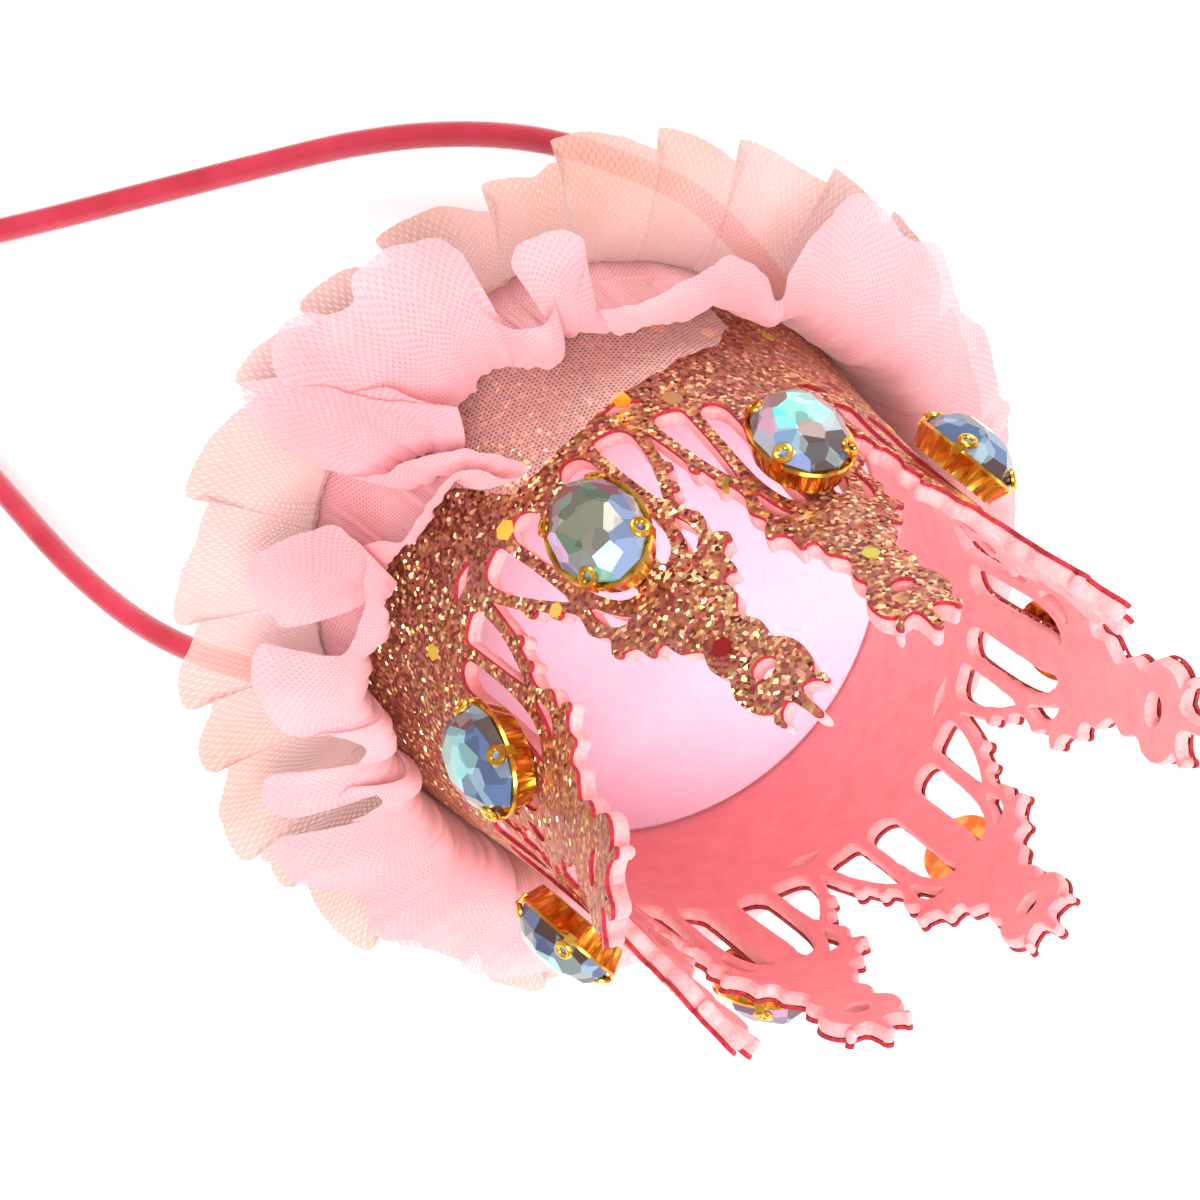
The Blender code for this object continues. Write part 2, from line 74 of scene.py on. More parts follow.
# How far each point leans in from the even wall, and sideways, at its stone and at its tip
Lean = namedtuple("Lean", "in_stone in_tip side_stone side_tip")
LEANS = (
    Lean(0.5, 3.6, 1.0, 1.4),
    Lean(2.9, 4.0, 0.9, -0.5),
    Lean(1.2, -0.4, -2.3, 0.2),
    Lean(-3.3, -6.8, -1.2, -4.0),
    Lean(-3.3, 0.5, -0.6, -0.7),
    Lean(-1.4, 2.3, 0.7, 2.9),
    Lean(0.5, -0.2, 1.4, 1.0),
    Lean(-0.3, -7.1, 0.2, -1.0),
)

# Right half of one point's outline from the valley to the tip, as arcs: centre, radius, first and
# last angle in degrees. Those without a radius are corners.
Arc = namedtuple("Arc", "name across up radius first last", defaults=(0.0, 0, 0))
OUTLINE = (
    Arc("valley", HALF_PITCH, VALLEY_HEIGHT),
    Arc("valley side", 13.5, 31.6),
    Arc("lower bump", 12.5, 35.2, 0.75, -74, 146),
    Arc("between bumps", 11.5, 37.0),
    Arc("upper bump", 10.9, 38.2, 0.75, -64, 146),
    Arc("cusp", 9.5, 40.6),
    Arc("shoulder", 9.6, 43.2, 1.2, -60, 60),
    Arc("shoulder notch", 9.5, 45.4),
    Arc("first spike", 10.8, 47.0, 0.65, -60, 140),
    Arc("spike notch", 8.7, 48.3),
    Arc("second spike", 8.1, 50.1, 0.65, -30, 150),
    Arc("spike foot", 6.0, 50.6),
    Arc("small lobe", 5.0, 52.2, 1.1, -20, 80),
    Arc("neck", 3.6, 54.6),
    Arc("neck lobe", 3.7, 57.0, 1.5, -50, 60),
    Arc("head notch", 4.6, 59.0),
    Arc("head lobe", 4.1, 61.7, 2.6, -50, 70),
    Arc("curl notch", 4.1, 64.3),
    Arc("curl", 5.1, 65.5, 0.62, -90, 190),
    Arc("curl foot", 3.3, 64.7),
    Arc("prong foot", 1.2, 64.5),
    Arc("prong side", 0.8, 66.6),
    Arc("prong", 0.0, 67.2, 0.9, 0, 90),
)
INNER_DROP = (
    Arc("round foot", 4.4, 29.2, 2.1, 180, 360),
    Arc("outer side", 6.5, 38.5),
    Arc("outer top", 5.9, 42.0),
    Arc("top", 4.6, 44.4),
    Arc("point", 2.0, 45.3),
    Arc("inner top", 2.7, 42.0),
    Arc("inner side", 2.4, 36.0),
)
OUTER_DROP = (
    Arc("inner foot", 8.9, 27.8, 0.9, 180, 270),
    Arc("outer foot", 10.8, 28.6, 1.7, 270, 360),
    Arc("outer side", 12.1, 31.4),
    Arc("outer middle", 11.0, 34.6),
    Arc("outer top", 9.6, 37.6),
    Arc("point", 8.5, 39.4),
    Arc("inner side", 8.0, 34.0),
)
SHOULDER_DROP = (
    Arc("point", 7.9, 40.8),
    Arc("outer side", 8.7, 42.6),
    Arc("outer top", 8.6, 44.6),
    Arc("top", 7.3, 46.0),
    Arc("inner point", 5.3, 46.2),
    Arc("inner side", 6.9, 44.2),
)
Oval = namedtuple("Oval", "across up long wide")
HEAD_EYE = Oval(0.0, 60.6, 2.2, 1.05)
SLIT_UP, SLIT_LONG, SLIT_WIDE = 24.4, 3.1, 0.9

REST_TURN = math.radians(55.9)
FLOOR_MIDDLE_UP = 1.5
floor_low, floor_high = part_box("crown_floor")
rest_turn = Matrix.Rotation(REST_TURN, 4, "X")
foot_centre = (floor_low + floor_high) / 2 - rest_turn @ Vector((0, 0, FLOOR_MIDDLE_UP * MM))
CROWN_PLACE = Matrix.Translation(foot_centre) @ rest_turn @ Matrix.Scale(MM, 4)


def smooth_step(value):
    value = min(max(value, 0.0), 1.0)
    return value * value * (3 - 2 * value)


def wall_radius(angle, up):
    share = up / HEIGHT
    oval = FOOT_OVAL + (TOP_OVAL - FOOT_OVAL) * share
    even = FOOT_RADIUS + TAPER * share + TAPER_EASE * share**2
    return even * (1 + oval * math.cos(2 * (angle - math.pi / 2)))


def point_lean(point, up):
    row = LEANS[point % POINTS]
    rise = max(0.0, (up - LEAN_START) / (HEIGHT - LEAN_START))
    stone = (STONE_HEIGHT - LEAN_START) / (HEIGHT - LEAN_START)

    def parabola(at_stone, at_tip):
        bend = (at_tip - at_stone / stone) / (1 - stone)
        return (at_tip - bend) * rise + bend * rise**2

    return Vector(
        (parabola(row.in_stone, row.in_tip), parabola(row.side_stone, row.side_tip))
    )


def wall_place(point, across, up, out=0.0):
    """The place of (across, up) on one point's flat pattern, out from the sheet's face."""
    angle = math.pi / 2 - point * PITCH - across / FOOT_RADIUS
    neighbour = point + (1 if across > 0 else -1)
    own = 1 - 0.5 * min(abs(across) / HALF_PITCH, 1.0) ** 2
    own += (1 - own) * smooth_step((up - VALLEY_HEIGHT) / SPLIT_RISE)
    lean = point_lean(point, up) * own + point_lean(neighbour, up) * (1 - own)
    radius = wall_radius(angle, up) - lean.x + out
    outward = Vector((math.cos(angle), math.sin(angle), 0.0))
    clockwise = Vector((math.sin(angle), -math.cos(angle), 0.0))
    return outward * radius + clockwise * lean.y + Vector((0.0, 0.0, up))


def arc_line(rows, closed=False):
    """A line through the rows, with its corners softened as a blade rounds them."""
    line = []
    for row in rows:
        steps = max(1, round(abs(row.last - row.first) / ARC_STEP)) if row.radius else 0
        for i in range(steps + 1):
            angle = math.radians(row.first + (row.last - row.first) * i / max(steps, 1))
            line.append(
                Vector((row.across, row.up))
                + row.radius * Vector((math.cos(angle), math.sin(angle)))
            )
    pairs = list(zip(line, line[1:] + line[:1] if closed else line[1:]))
    cut = [place for a, b in pairs for place in (a.lerp(b, CORNER), a.lerp(b, 1 - CORNER))]
    return cut if closed else [line[0], *cut, line[-1]]


def oval_line(oval):
    angles = [math.tau * i / OVAL_SIDES for i in range(OVAL_SIDES)]
    return [
        Vector((oval.across + oval.long * math.cos(a), oval.up + oval.wide * math.sin(a)))
        for a in angles
    ]


def grown(line, margin, closed=True):
    """The line moved to its right by the margin, which is outwards where it runs anticlockwise."""
    moved = []
    for i, place in enumerate(line):
        before = line[i - 1] if closed or i else place
        after = line[(i + 1) % len(line)] if closed or i < len(line) - 1 else place
        run = after - before
        moved.append(place + Vector((run.y, -run.x)).normalized() * margin)
    return moved


def mirrored(line, at=0.0):
    return [Vector((2 * at - place.x, place.y)) for place in reversed(line)]


def sliced(bm, place, normal, clear=False):
    """Cuts the bmesh along a plane and returns the cut. Clearing removes what is outside it."""
    geom = bm.verts[:] + bm.edges[:] + bm.faces[:]
    return bmesh.ops.bisect_plane(
        bm, geom=geom, dist=ON_PLANE, plane_co=place, plane_no=normal, clear_outer=clear
    )["geom_cut"]


def of_kind(items, kind):
    return [item for item in items if isinstance(item, kind)]


def half_point(margin):
    """The flat right half of one point as a bmesh, cut along a grid so that it can bend."""
    half = grown(arc_line(OUTLINE), margin, closed=False)
    half[0].x, half[-1].x = HALF_PITCH, 0.0
    drops = [
        grown(arc_line(drop, closed=True), -margin)
        for drop in (INNER_DROP, OUTER_DROP, SHOULDER_DROP)
    ]
    wide = SLIT_WIDE - margin
    slit = [
        Vector((HALF_PITCH + x, SLIT_UP + y))
        for x, y in ((0, -wide), (SLIT_LONG, 0), (0, wide), (-SLIT_LONG, 0))
    ]
    foot = [Vector((-HALF_PITCH, 0.0)), Vector((2 * HALF_PITCH, 0.0))]
    outline = foot + mirrored(half, HALF_PITCH)[:-1] + half + mirrored(half)[1:]
    loops = [outline, slit, grown(oval_line(HEAD_EYE), -margin), *drops]
    loops += [mirrored(drop) for drop in drops]
    loops += [mirrored(drop, HALF_PITCH) for drop in drops]

    flat = bmesh.new()
    for loop in loops:
        verts = [flat.verts.new((place.x, place.y, 0.0)) for place in loop]
        for a, b in zip(verts, verts[1:] + verts[:1]):
            flat.edges.new((a, b))
    bmesh.ops.triangle_fill(flat, use_beauty=True, edges=flat.edges[:], normal=(0, 0, 1))
    for place, normal in ((0.0, -1), (HALF_PITCH, 1)):
        sliced(flat, (place, 0, 0), (normal, 0, 0), clear=True)
    across_cuts = math.ceil(HALF_PITCH / GRID)
    up_cuts = math.ceil(HEIGHT / GRID)
    planes = [((HALF_PITCH * i / across_cuts, 0, 0), (1, 0, 0)) for i in range(1, across_cuts)]
    planes += [((0, HEIGHT * i / up_cuts, 0), (0, 1, 0)) for i in range(1, up_cuts)]
    for place, normal in planes:
        sliced(flat, place, normal)
    return flat


def on_seam(edge):
    return all(abs(abs(vert.co.x) - HALF_PITCH) < WELD for vert in edge.verts)


def pierced_ring(thickness, out, margin, rounding=0.0):
    """Eight points joined into the wall's ring. Its cut edges have the material index 1, and
    are a little lumpy where they are rounded."""
    flat = half_point(margin - rounding)
    geom = flat.verts[:] + flat.edges[:] + flat.faces[:]
    bmesh.ops.mirror(flat, geom=geom, matrix=Matrix.Identity(4), merge_dist=WELD, axis="X")
    bmesh.ops.remove_doubles(flat, verts=flat.verts, dist=WELD)
    bmesh.ops.recalc_face_normals(flat, faces=flat.faces)
    rim = flat.verts.layers.int.new("rim")
    edges = [edge for edge in flat.edges if edge.is_boundary and not on_seam(edge)]
    outward = {vert: Vector((0, 0)) for edge in edges for vert in edge.verts}
    for edge in edges:
        a, b = (vert.co.xy for vert in edge.verts)
        across = Vector((b.y - a.y, a.x - b.x)).normalized()
        away = (a + b) / 2 - edge.link_faces[0].calc_center_median().xy
        for vert in edge.verts:
            outward[vert] += across if across.dot(away) > 0 else -across
    rims = [None]
    for vert, way in outward.items():
        if abs(abs(vert.co.x) - HALF_PITCH) < WELD:
            way.x = 0.0
        vert[rim] = len(rims)
        rims.append((vert.co.xy.copy(), way.normalized()))
    copied = bmesh.ops.duplicate(flat, geom=flat.faces[:])["geom"]
    behind = of_kind(copied, BMVert)
    bmesh.ops.translate(flat, verts=behind, vec=(0, 0, -thickness))
    for grow, depth in (
        (rounding, rounding), (rounding, thickness - rounding), (0.0, thickness)
    ):
        made = bmesh.ops.extrude_edge_only(flat, edges=edges)["geom"]
        edges = of_kind(made, BMEdge)
        for face in of_kind(made, BMFace):
            face.material_index = 1
        for vert in of_kind(made, BMVert):
            place, way = rims[vert[rim]]
            wave = EDGE_LUMPS * math.sin(LUMPS_ACROSS * place.x + 1.0)
            lump = 1 + wave * math.sin(LUMPS_UP * place.y)
            vert.co = (*(place + way * grow * lump), -depth)
    ring = bmesh.new()
    for point in range(POINTS):
        bent = flat.copy()
        for vert in bent.verts:
            vert.co = wall_place(point, vert.co.x, vert.co.y, out + vert.co.z)
        mesh = bpy.data.meshes.new("point")
        bent.to_mesh(mesh)
        ring.from_mesh(mesh)
        bpy.data.meshes.remove(mesh)
        bent.free()
    flat.free()
    bmesh.ops.remove_doubles(ring, verts=ring.verts, dist=WELD)
    bmesh.ops.recalc_face_normals(ring, faces=ring.faces)
    return ring


def add_object(name, data):
    added = bpy.data.objects.new(name, data)
    bpy.context.scene.collection.objects.link(added)
    return added


def make_piece(name, bm, looks, stands_for=(), smooth=True):
    """Sets a bmesh, drawn round the crown in millimetres, on the frame as a finished piece."""
    bm.transform(CROWN_PLACE)
    mesh = bpy.data.meshes.new(name)
    bm.to_mesh(mesh)
    bm.free()
    if smooth:
        mesh.shade_smooth()
    else:
        mesh.shade_flat()
    for look in looks:
        mesh.materials.append(look)
    piece = add_object(name, mesh)
    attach(piece, "root")
    if stands_for:
        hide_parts(*stands_for)
    return piece


class Value:
    """A number that varies over a surface. Sums on it add Math nodes to its material."""

    def __init__(self, look, socket):
        self.look, self.socket = look, socket

    def math(self, operation, *others):
        inputs = dict(enumerate((self, *others)))
        return self.look.node("ShaderNodeMath", {"operation": operation}, inputs)

    def __add__(self, other):
        return self.math("ADD", other)

    def __sub__(self, other):
        return self.math("SUBTRACT", other)

    def __mul__(self, other):
        return self.math("MULTIPLY", other)

    def __rsub__(self, other):
        return (self * -1) + other

    __radd__, __rmul__ = __add__, __mul__

    def within(self, low, high):
        """0 below the low value, 1 above the high one, and smooth between."""
        inputs = {"Value": self, "From Min": low, "From Max": high}
        return self.look.node("ShaderNodeMapRange", {"interpolation_type": "SMOOTHSTEP"}, inputs)


class Look:
    """A material: one Principled shader, its even values, and the nodes that feed it."""

    def __init__(self, name, **even):
        self.material = bpy.data.materials.new(name)
        self.material.use_nodes = True
        self.tree = self.material.node_tree
        self.shader = self.tree.nodes["Principled BSDF"]
        for key, value in even.items():
            self.shader.inputs[key.replace("_", " ")].default_value = value

    def node(self, kind, settings=None, inputs=None, output=0):
        made = self.tree.nodes.new(kind)
        for key, value in (settings or {}).items():
            if key == "stops":
                ramp = made.color_ramp
                while len(ramp.elements) < len(value):
                    ramp.elements.new(1.0)
                for element, (place, colour) in zip(ramp.elements, value):
                    element.position, element.color = place, (*colour, 1.0)
            else:
                setattr(made, key, value)
        for key, value in (inputs or {}).items():
            if isinstance(value, Value):
                self.tree.links.new(value.socket, made.inputs[key])
            else:
                made.inputs[key].default_value = value
        return Value(self, made.outputs[output])

    def feed(self, **links):
        for key, value in links.items():
            self.tree.links.new(value.socket, self.shader.inputs[key.replace("_", " ")])

    def place(self):
        return self.node("ShaderNodeTexCoord", output="Object")

    def noise(self, size, detail=2.0):
        inputs = {"Vector": self.place(), "Scale": 1 / (size * MM), "Detail": detail}
        return self.node("ShaderNodeTexNoise", None, inputs)

    def cells(self, size):
        """A colour of its own for each cell."""
        inputs = {"Vector": self.place(), "Scale": 1 / (size * MM)}
        return self.node("ShaderNodeTexVoronoi", None, inputs, "Color")

    def ramp(self, factor, *stops):
        return self.node("ShaderNodeValToRGB", {"stops": stops}, {"Fac": factor})

    def mix(self, factor, first, second):
        inputs = {"Factor": factor, 6: first, 7: second}
        return self.node("ShaderNodeMix", {"data_type": "RGBA"}, inputs, 2)

    def part(self, vector, output):
        return self.node("ShaderNodeSeparateXYZ", None, {"Vector": vector}, output)

    def bump(self, height, depth, strength):
        inputs = {"Height": height, "Distance": depth * MM, "Strength": strength}
        return self.node("ShaderNodeBump", None, inputs)


def tilted_flakes(look, flake, tilt):
    """The surface's normal, tipped a different way on each flake, so that flakes flash."""
    tip = look.node(
        "ShaderNodeVectorMath", {"operation": "SUBTRACT"}, {0: flake, 1: (0.5, 0.5, 0.5)}
    )
    tip = look.node("ShaderNodeVectorMath", {"operation": "SCALE"}, {0: tip, "Scale": tilt})
    normal = look.node("ShaderNodeNewGeometry", output="Normal")
    tip = look.node("ShaderNodeVectorMath", {"operation": "ADD"}, {0: tip, 1: normal})
    return look.node("ShaderNodeVectorMath", {"operation": "NORMALIZE"}, {0: tip})


FLAKE, FLAKE_TILT = 0.40, 1.5
glitter = Look("copper_glitter", Roughness=0.34, IOR=1.5)
flake = glitter.cells(FLAKE)
shade = glitter.part(flake, 0)
coppers = glitter.ramp(
    shade,
    (0.0, (0.19, 0.014, 0.028)),
    (0.22, (0.37, 0.070, 0.060)),
    (0.5, (0.54, 0.180, 0.105)),
    (0.72, (0.64, 0.300, 0.140)),
    (0.87, (0.84, 0.500, 0.160)),
    (0.97, (1.0, 0.880, 0.480)),
)
patches = glitter.noise(9.0, 2.0).within(0.45, 0.65)
rosy = glitter.mix(patches * 0.35, coppers, (0.42, 0.17, 0.14, 1.0))
glitter.feed(
    Base_Color=rosy,
    Metallic=shade.within(0.1, 0.6) * 0.6 + 0.3,
    Normal=tilted_flakes(glitter, flake, FLAKE_TILT),
)
cut_cloth = Look("cut_glitter_edge", Roughness=0.8)
cut_cloth.feed(
    Base_Color=cut_cloth.ramp(
        cut_cloth.noise(0.5), (0.3, (0.30, 0.004, 0.012)), (0.75, (0.52, 0.02, 0.04))
    )
)
glitter_sheet = make_piece(
    "glitter_sheet",
    pierced_ring(GLITTER_THICKNESS, 0.0, 0.0),
    (glitter.material, cut_cloth.material),
    ["crown_glitter"],
)
glitter_sheet.data.set_sharp_from_angle(angle=math.radians(50))

# Felt lining
# Salmon-pink craft felt glued behind the glitter and cut to the same outline, so that its cut edge
# shows from the side. The edge is rounded and a little lumpy, and coloured lighter as a painted
# highlight.

GLUE_LINE = 0.05
FELT_THICKNESS, FELT_MARGIN, FELT_ROUNDING = 1.5, 0.05, 0.3


def felt_look(name, deep, light):
    look = Look(name, Roughness=0.95, Sheen_Weight=0.35, Sheen_Roughness=0.5)
    hair = look.noise(0.32, 4.0)
    clumps = look.noise(2.6, 3.0)
    look.feed(
        Base_Color=look.ramp(hair * 0.45 + clumps * 0.55, (0.35, deep), (0.68, light)),
        Normal=look.bump(hair + clumps * 0.8, 0.16, 0.7),
    )
    return look.material


felt = felt_look("salmon_felt", (0.90, 0.21, 0.225), (0.97, 0.30, 0.31))
# The cut edge's felt is a paler copy of the face's felt: a painted highlight.
felt_edge_highlight = felt_look("cut_felt_edge", (0.93, 0.28, 0.29), (1.0, 0.44, 0.45))
felt_piece = make_piece(
    "felt_lining",
    pierced_ring(FELT_THICKNESS, -GLITTER_THICKNESS - GLUE_LINE, FELT_MARGIN, FELT_ROUNDING),
    (felt, felt_edge_highlight),
    ["crown_felt"],
)
felt_piece.data.set_sharp_from_angle(angle=math.radians(40))

# Felt floor
# A disc of pale pink felt closes the crown's foot. It is cut to lie inside the lining, with a
# soft edge.

DISC_THICKNESS, DISC_BASE, DISC_SIDES, DISC_GAP = 1.8, 0.6, 96, 0.3
DISC_ROUNDING, ROUNDING_STEPS = 0.35, 3

disc = bmesh.new()
bmesh.ops.create_circle(disc, segments=DISC_SIDES, radius=1.0, cap_ends=True)
disc_clearance = GLITTER_THICKNESS + FELT_THICKNESS + DISC_GAP
for vert in disc.verts:
    angle = math.atan2(vert.co.y, vert.co.x)
    reach = wall_radius(angle, DISC_BASE + DISC_THICKNESS) - disc_clearance
    vert.co = (reach * math.cos(angle), reach * math.sin(angle), DISC_BASE)
raised = bmesh.ops.extrude_face_region(disc, geom=disc.faces[:], use_keep_orig=True)["geom"]
top = of_kind(raised, BMVert)
bmesh.ops.translate(disc, verts=top, vec=(0, 0, DISC_THICKNESS))
bmesh.ops.recalc_face_normals(disc, faces=disc.faces)
rims = [edge for edge in disc.edges if edge.calc_face_angle(0.0) > 1.0]
bmesh.ops.bevel(
    disc, geom=rims, offset=DISC_ROUNDING, segments=ROUNDING_STEPS, profile=0.5,
    affect="EDGES", material=-1,
)
pale_felt = felt_look("pale_felt", (0.98, 0.73, 0.93), (0.98, 0.80, 0.98))
floor_disc = make_piece("felt_floor", disc, (pale_felt,), ["crown_floor"])
floor_disc.data.set_sharp_from_angle(angle=math.radians(30))

# Camera
# The photograph looks down into the crown from above its first point, with the picture turned so
# that the headband runs off to the left. Places are in the crown's own frame.

EYE = Vector((-0.62, 135.47, 213.24))
LOOK = Vector((-0.0141, -0.5392, -0.8421))
PICTURE_RIGHT = Vector((0.6471, -0.6469, 0.4034))
LENS, SENSOR, PICTURE = 66.25, 36.0, 1200

camera_data = bpy.data.cameras.new("camera")
camera_data.lens, camera_data.sensor_width = LENS, SENSOR
camera = add_object("camera", camera_data)
turn = rest_turn.to_3x3()
back = -(turn @ LOOK).normalized()
right = turn @ PICTURE_RIGHT
right = (right - back * right.dot(back)).normalized()
camera_axes = Matrix((right, back.cross(right), back)).transposed().to_4x4()
camera.matrix_world = Matrix.Translation(CROWN_PLACE @ EYE) @ camera_axes
bpy.context.scene.camera = camera

# Sequins
# A few larger hexagonal flakes lie flat in the glitter. Those that the photograph shows are
# placed by its pixels, and the rest are scattered round the sides that it doesn't show.

Sequin = namedtuple("Sequin", "x y size colour")
SEQUINS = (
    Sequin(620, 402, 1.15, (0.95, 0.42, 0.03)),
    Sequin(505, 530, 1.15, (0.95, 0.62, 0.08)),
    Sequin(722, 647, 1.05, (0.30, 0.012, 0.012)),
    Sequin(433, 652, 0.95, (0.62, 0.50, 0.05)),
    Sequin(727, 485, 0.95, (0.45, 0.40, 0.07)),
    Sequin(672, 398, 1.1, (0.45, 0.24, 0.10)),
    Sequin(871, 553, 0.9, (0.55, 0.50, 0.08)),
    Sequin(556, 610, 0.8, (0.92, 0.60, 0.12)),
)
SEQUIN_COLOURS = [sequin.colour for sequin in SEQUINS]
SEQUIN_COUNT, SEQUIN_THICKNESS = 26, 0.12
# The scattered ones: the first angle and the turn from it in degrees, and the ranges
SCATTER_FIRST, SCATTER_TURN, SCATTER_UP, SCATTER_SIZE = 190, 220, (4, 26), (0.8, 1.15)
OUTSIDE_RADIUS = 90
scatter = random.Random(8)

sheet_mesh = glitter_sheet.data
sheet_tree = BVHTree.FromPolygons(
    [vert.co for vert in sheet_mesh.vertices], [face.vertices for face in sheet_mesh.polygons]
)
sequins = bmesh.new()
tint = sequins.loops.layers.float_color.new("tint")


def lay_sequin(place, normal, size, colour):
    """One six-sided flake on the sheet. The place is in metres, on the frame."""
    axes = normal.to_track_quat("Z", "Y").to_matrix().to_4x4()
    spin = Matrix.Rotation(scatter.uniform(0, math.pi / 3), 4, "Z")
    at = CROWN_PLACE.inverted() @ Matrix.Translation(place) @ axes @ spin @ Matrix.Scale(MM, 4)
    made = bmesh.ops.create_cone(
        sequins, cap_ends=True, segments=6, radius1=size, radius2=size,
        depth=SEQUIN_THICKNESS, matrix=at,
    )
    for face in {face for vert in made["verts"] for face in vert.link_faces}:
        for loop in face.loops:
            loop[tint] = (*colour, 1.0)


for sequin in SEQUINS:
    reach = LENS / SENSOR * PICTURE
    ray = Vector((sequin.x - PICTURE / 2, PICTURE / 2 - sequin.y, -reach))
    ray = (camera_axes.to_3x3() @ ray).normalized()
    place, normal, _, _ = sheet_tree.ray_cast(camera.matrix_world.translation, ray)
    if place:
        lay_sequin(place, normal, sequin.size, sequin.colour)
for i in range(SEQUIN_COUNT):
    turn_share = (i + scatter.random()) / SEQUIN_COUNT
    angle = math.radians(SCATTER_FIRST + SCATTER_TURN * turn_share)
    up = scatter.uniform(*SCATTER_UP)
    outside = Vector((math.cos(angle), math.sin(angle), 0)) * OUTSIDE_RADIUS
    start = CROWN_PLACE @ (outside + Vector((0, 0, up)))
    ray = (CROWN_PLACE @ Vector((0, 0, up)) - start).normalized()
    place, normal, _, _ = sheet_tree.ray_cast(start, ray)
    lay_sequin(place, normal, scatter.uniform(*SCATTER_SIZE), scatter.choice(SEQUIN_COLOURS))
sequin_look = Look("sequin_foil", Roughness=0.3, Metallic=0.55)
sequin_look.feed(
    Base_Color=sequin_look.node("ShaderNodeAttribute", {"attribute_name": "tint"})
)
make_piece("sequins", sequins, (sequin_look.material,), smooth=False)

# Stones
# Oval acrylic stones, 13 by 9.4 mm, cut with a dome of broad facets over steep sides, with an
# iridescent coating. Each facet is painted grey-green, aqua, violet or brown: partly the coating's
# tint, partly painted reflection.

STONE_LENGTH, STONE_WIDTH, STONE_TURN = 13.0, 9.4, math.radians(-7.5)
STONE_TOP, STONE_BASE = 6.6, 1.7
BLANK_SIDES, STONE_SEED, TURN_JITTER, SLOPE_JITTER = 60, 20, 0.08, 1.0
# Rings of facets: how many, the radius and height that each touches, its slope in degrees and
# the turn of the first, as a share of the step between two
Facets = namedtuple("Facets", "count radius height slope turn")
RINGS = (
    Facets(3, 1.6, 6.38, 7, 0.15),
    Facets(6, 3.3, 6.05, 22, 0.3),
    Facets(9, 5.0, 5.05, 40, 0.0),
    Facets(10, 5.85, 4.0, 68, 0.5),
    Facets(10, 5.5, 1.7, 128, 0.5),
)
# Colours of the facets on top, round the dome and on the sides, each partly the coating's tint and
# partly a painted reflection
Hues = namedtuple("Hues", "top dome side")
GREEN = Hues(
    ((0.19, 0.19, 0.135), (0.17, 0.26, 0.16), (0.12, 0.22, 0.115)),
    ((0.14, 0.11, 0.085), (0.10, 0.055, 0.045), (0.20, 0.18, 0.14), (0.24, 0.30, 0.40),
     (0.07, 0.02, 0.03), (0.12, 0.18, 0.12)),
    ((0.24, 0.32, 0.52), (0.22, 0.21, 0.20), (0.10, 0.015, 0.08), (0.52, 0.30, 0.50),
     (0.14, 0.38, 0.38), (0.11, 0.07, 0.06)),
)
AQUA = Hues(
    ((0.30, 0.74, 0.66), (0.17, 0.14, 0.11), (0.24, 0.23, 0.19)),
    ((0.11, 0.06, 0.045), (0.14, 0.74, 0.70), (0.15, 0.11, 0.09), (0.28, 0.44, 0.72),
     (0.36, 0.40, 0.44)),
    ((0.22, 0.30, 0.54), (0.09, 0.06, 0.06), (0.17, 0.28, 0.42), (0.38, 0.48, 0.56),
     (0.48, 0.32, 0.42)),
)
BLUE = Hues(
    ((0.24, 0.58, 0.56), (0.30, 0.48, 0.52), (0.17, 0.36, 0.42)),
    ((0.28, 0.52, 0.54), (0.10, 0.060, 0.045), (0.20, 0.60, 0.55), (0.13, 0.20, 0.28)),
    ((0.09, 0.14, 0.28), (0.08, 0.05, 0.05), (0.24, 0.34, 0.44), (0.07, 0.035, 0.03)),
)
STONE_HUES = (GREEN, AQUA, BLUE, GREEN, AQUA, GREEN, BLUE, BLUE)


def stone_frame(point):
    """The stone's axes on the sheet: across, up along it, and out of it, turned as it is set."""
    step, up = 1.0, STONE_HEIGHT
    along = wall_place(point, 0.0, up + step) - wall_place(point, 0.0, up - step)
    side = wall_place(point, step, up) - wall_place(point, -step, up)
    along.normalize()
    out = along.cross(side).normalized()
    origin = wall_place(point, 0.0, up)
    if out.xy.dot(origin.xy) < 0:
        out = -out
    axes = Matrix((along.cross(out).normalized(), along, out)).transposed().to_4x4()
    return Matrix.Translation(origin) @ axes @ Matrix.Rotation(STONE_TURN, 4, "Z")


def cut_stone(seed, hues):
    """A round blank, cut facet by facet as on a wheel, then drawn in to an oval."""
    pick = random.Random(seed)
    stone = bmesh.new()
    ring_of = stone.faces.layers.int.new("ring")
    blank = Matrix.Translation((0, 0, (STONE_BASE + STONE_TOP) / 2))
    bmesh.ops.create_cone(
        stone, cap_ends=True, segments=BLANK_SIDES, radius1=STONE_LENGTH / 2,
        radius2=STONE_LENGTH / 2, depth=STONE_TOP - STONE_BASE, matrix=blank,
    )
    for ring, facets in enumerate(RINGS):
        for i in range(facets.count):
            angle = math.tau * (i + facets.turn) / facets.count
            angle += pick.uniform(-TURN_JITTER, TURN_JITTER)
            slope = math.radians(facets.slope + pick.uniform(-SLOPE_JITTER, SLOPE_JITTER))
            round_about = Vector((math.cos(angle), math.sin(angle), 0))
            place = round_about * facets.radius + Vector((0, 0, facets.height))
            normal = round_about * math.sin(slope) + Vector((0, 0, math.cos(slope)))
            cut = sliced(stone, place, normal, clear=True)
            edges = of_kind(cut, BMEdge)
            for face in bmesh.ops.contextual_create(stone, geom=edges)["faces"]:
                face[ring_of] = ring
    bmesh.ops.scale(stone, vec=(STONE_WIDTH / STONE_LENGTH, 1, 1), verts=stone.verts)
    bmesh.ops.recalc_face_normals(stone, faces=stone.faces)
    tint = stone.loops.layers.float_color.new("facet")
    tops = iter(hues.top)
    for face in stone.faces:
        ring = min(face[ring_of], 2)
        colour = next(tops, hues.top[0]) if ring == 0 else pick.choice(hues[ring])
        for loop in face.loops:
            loop[tint] = (*colour, 1.0)
    return stone


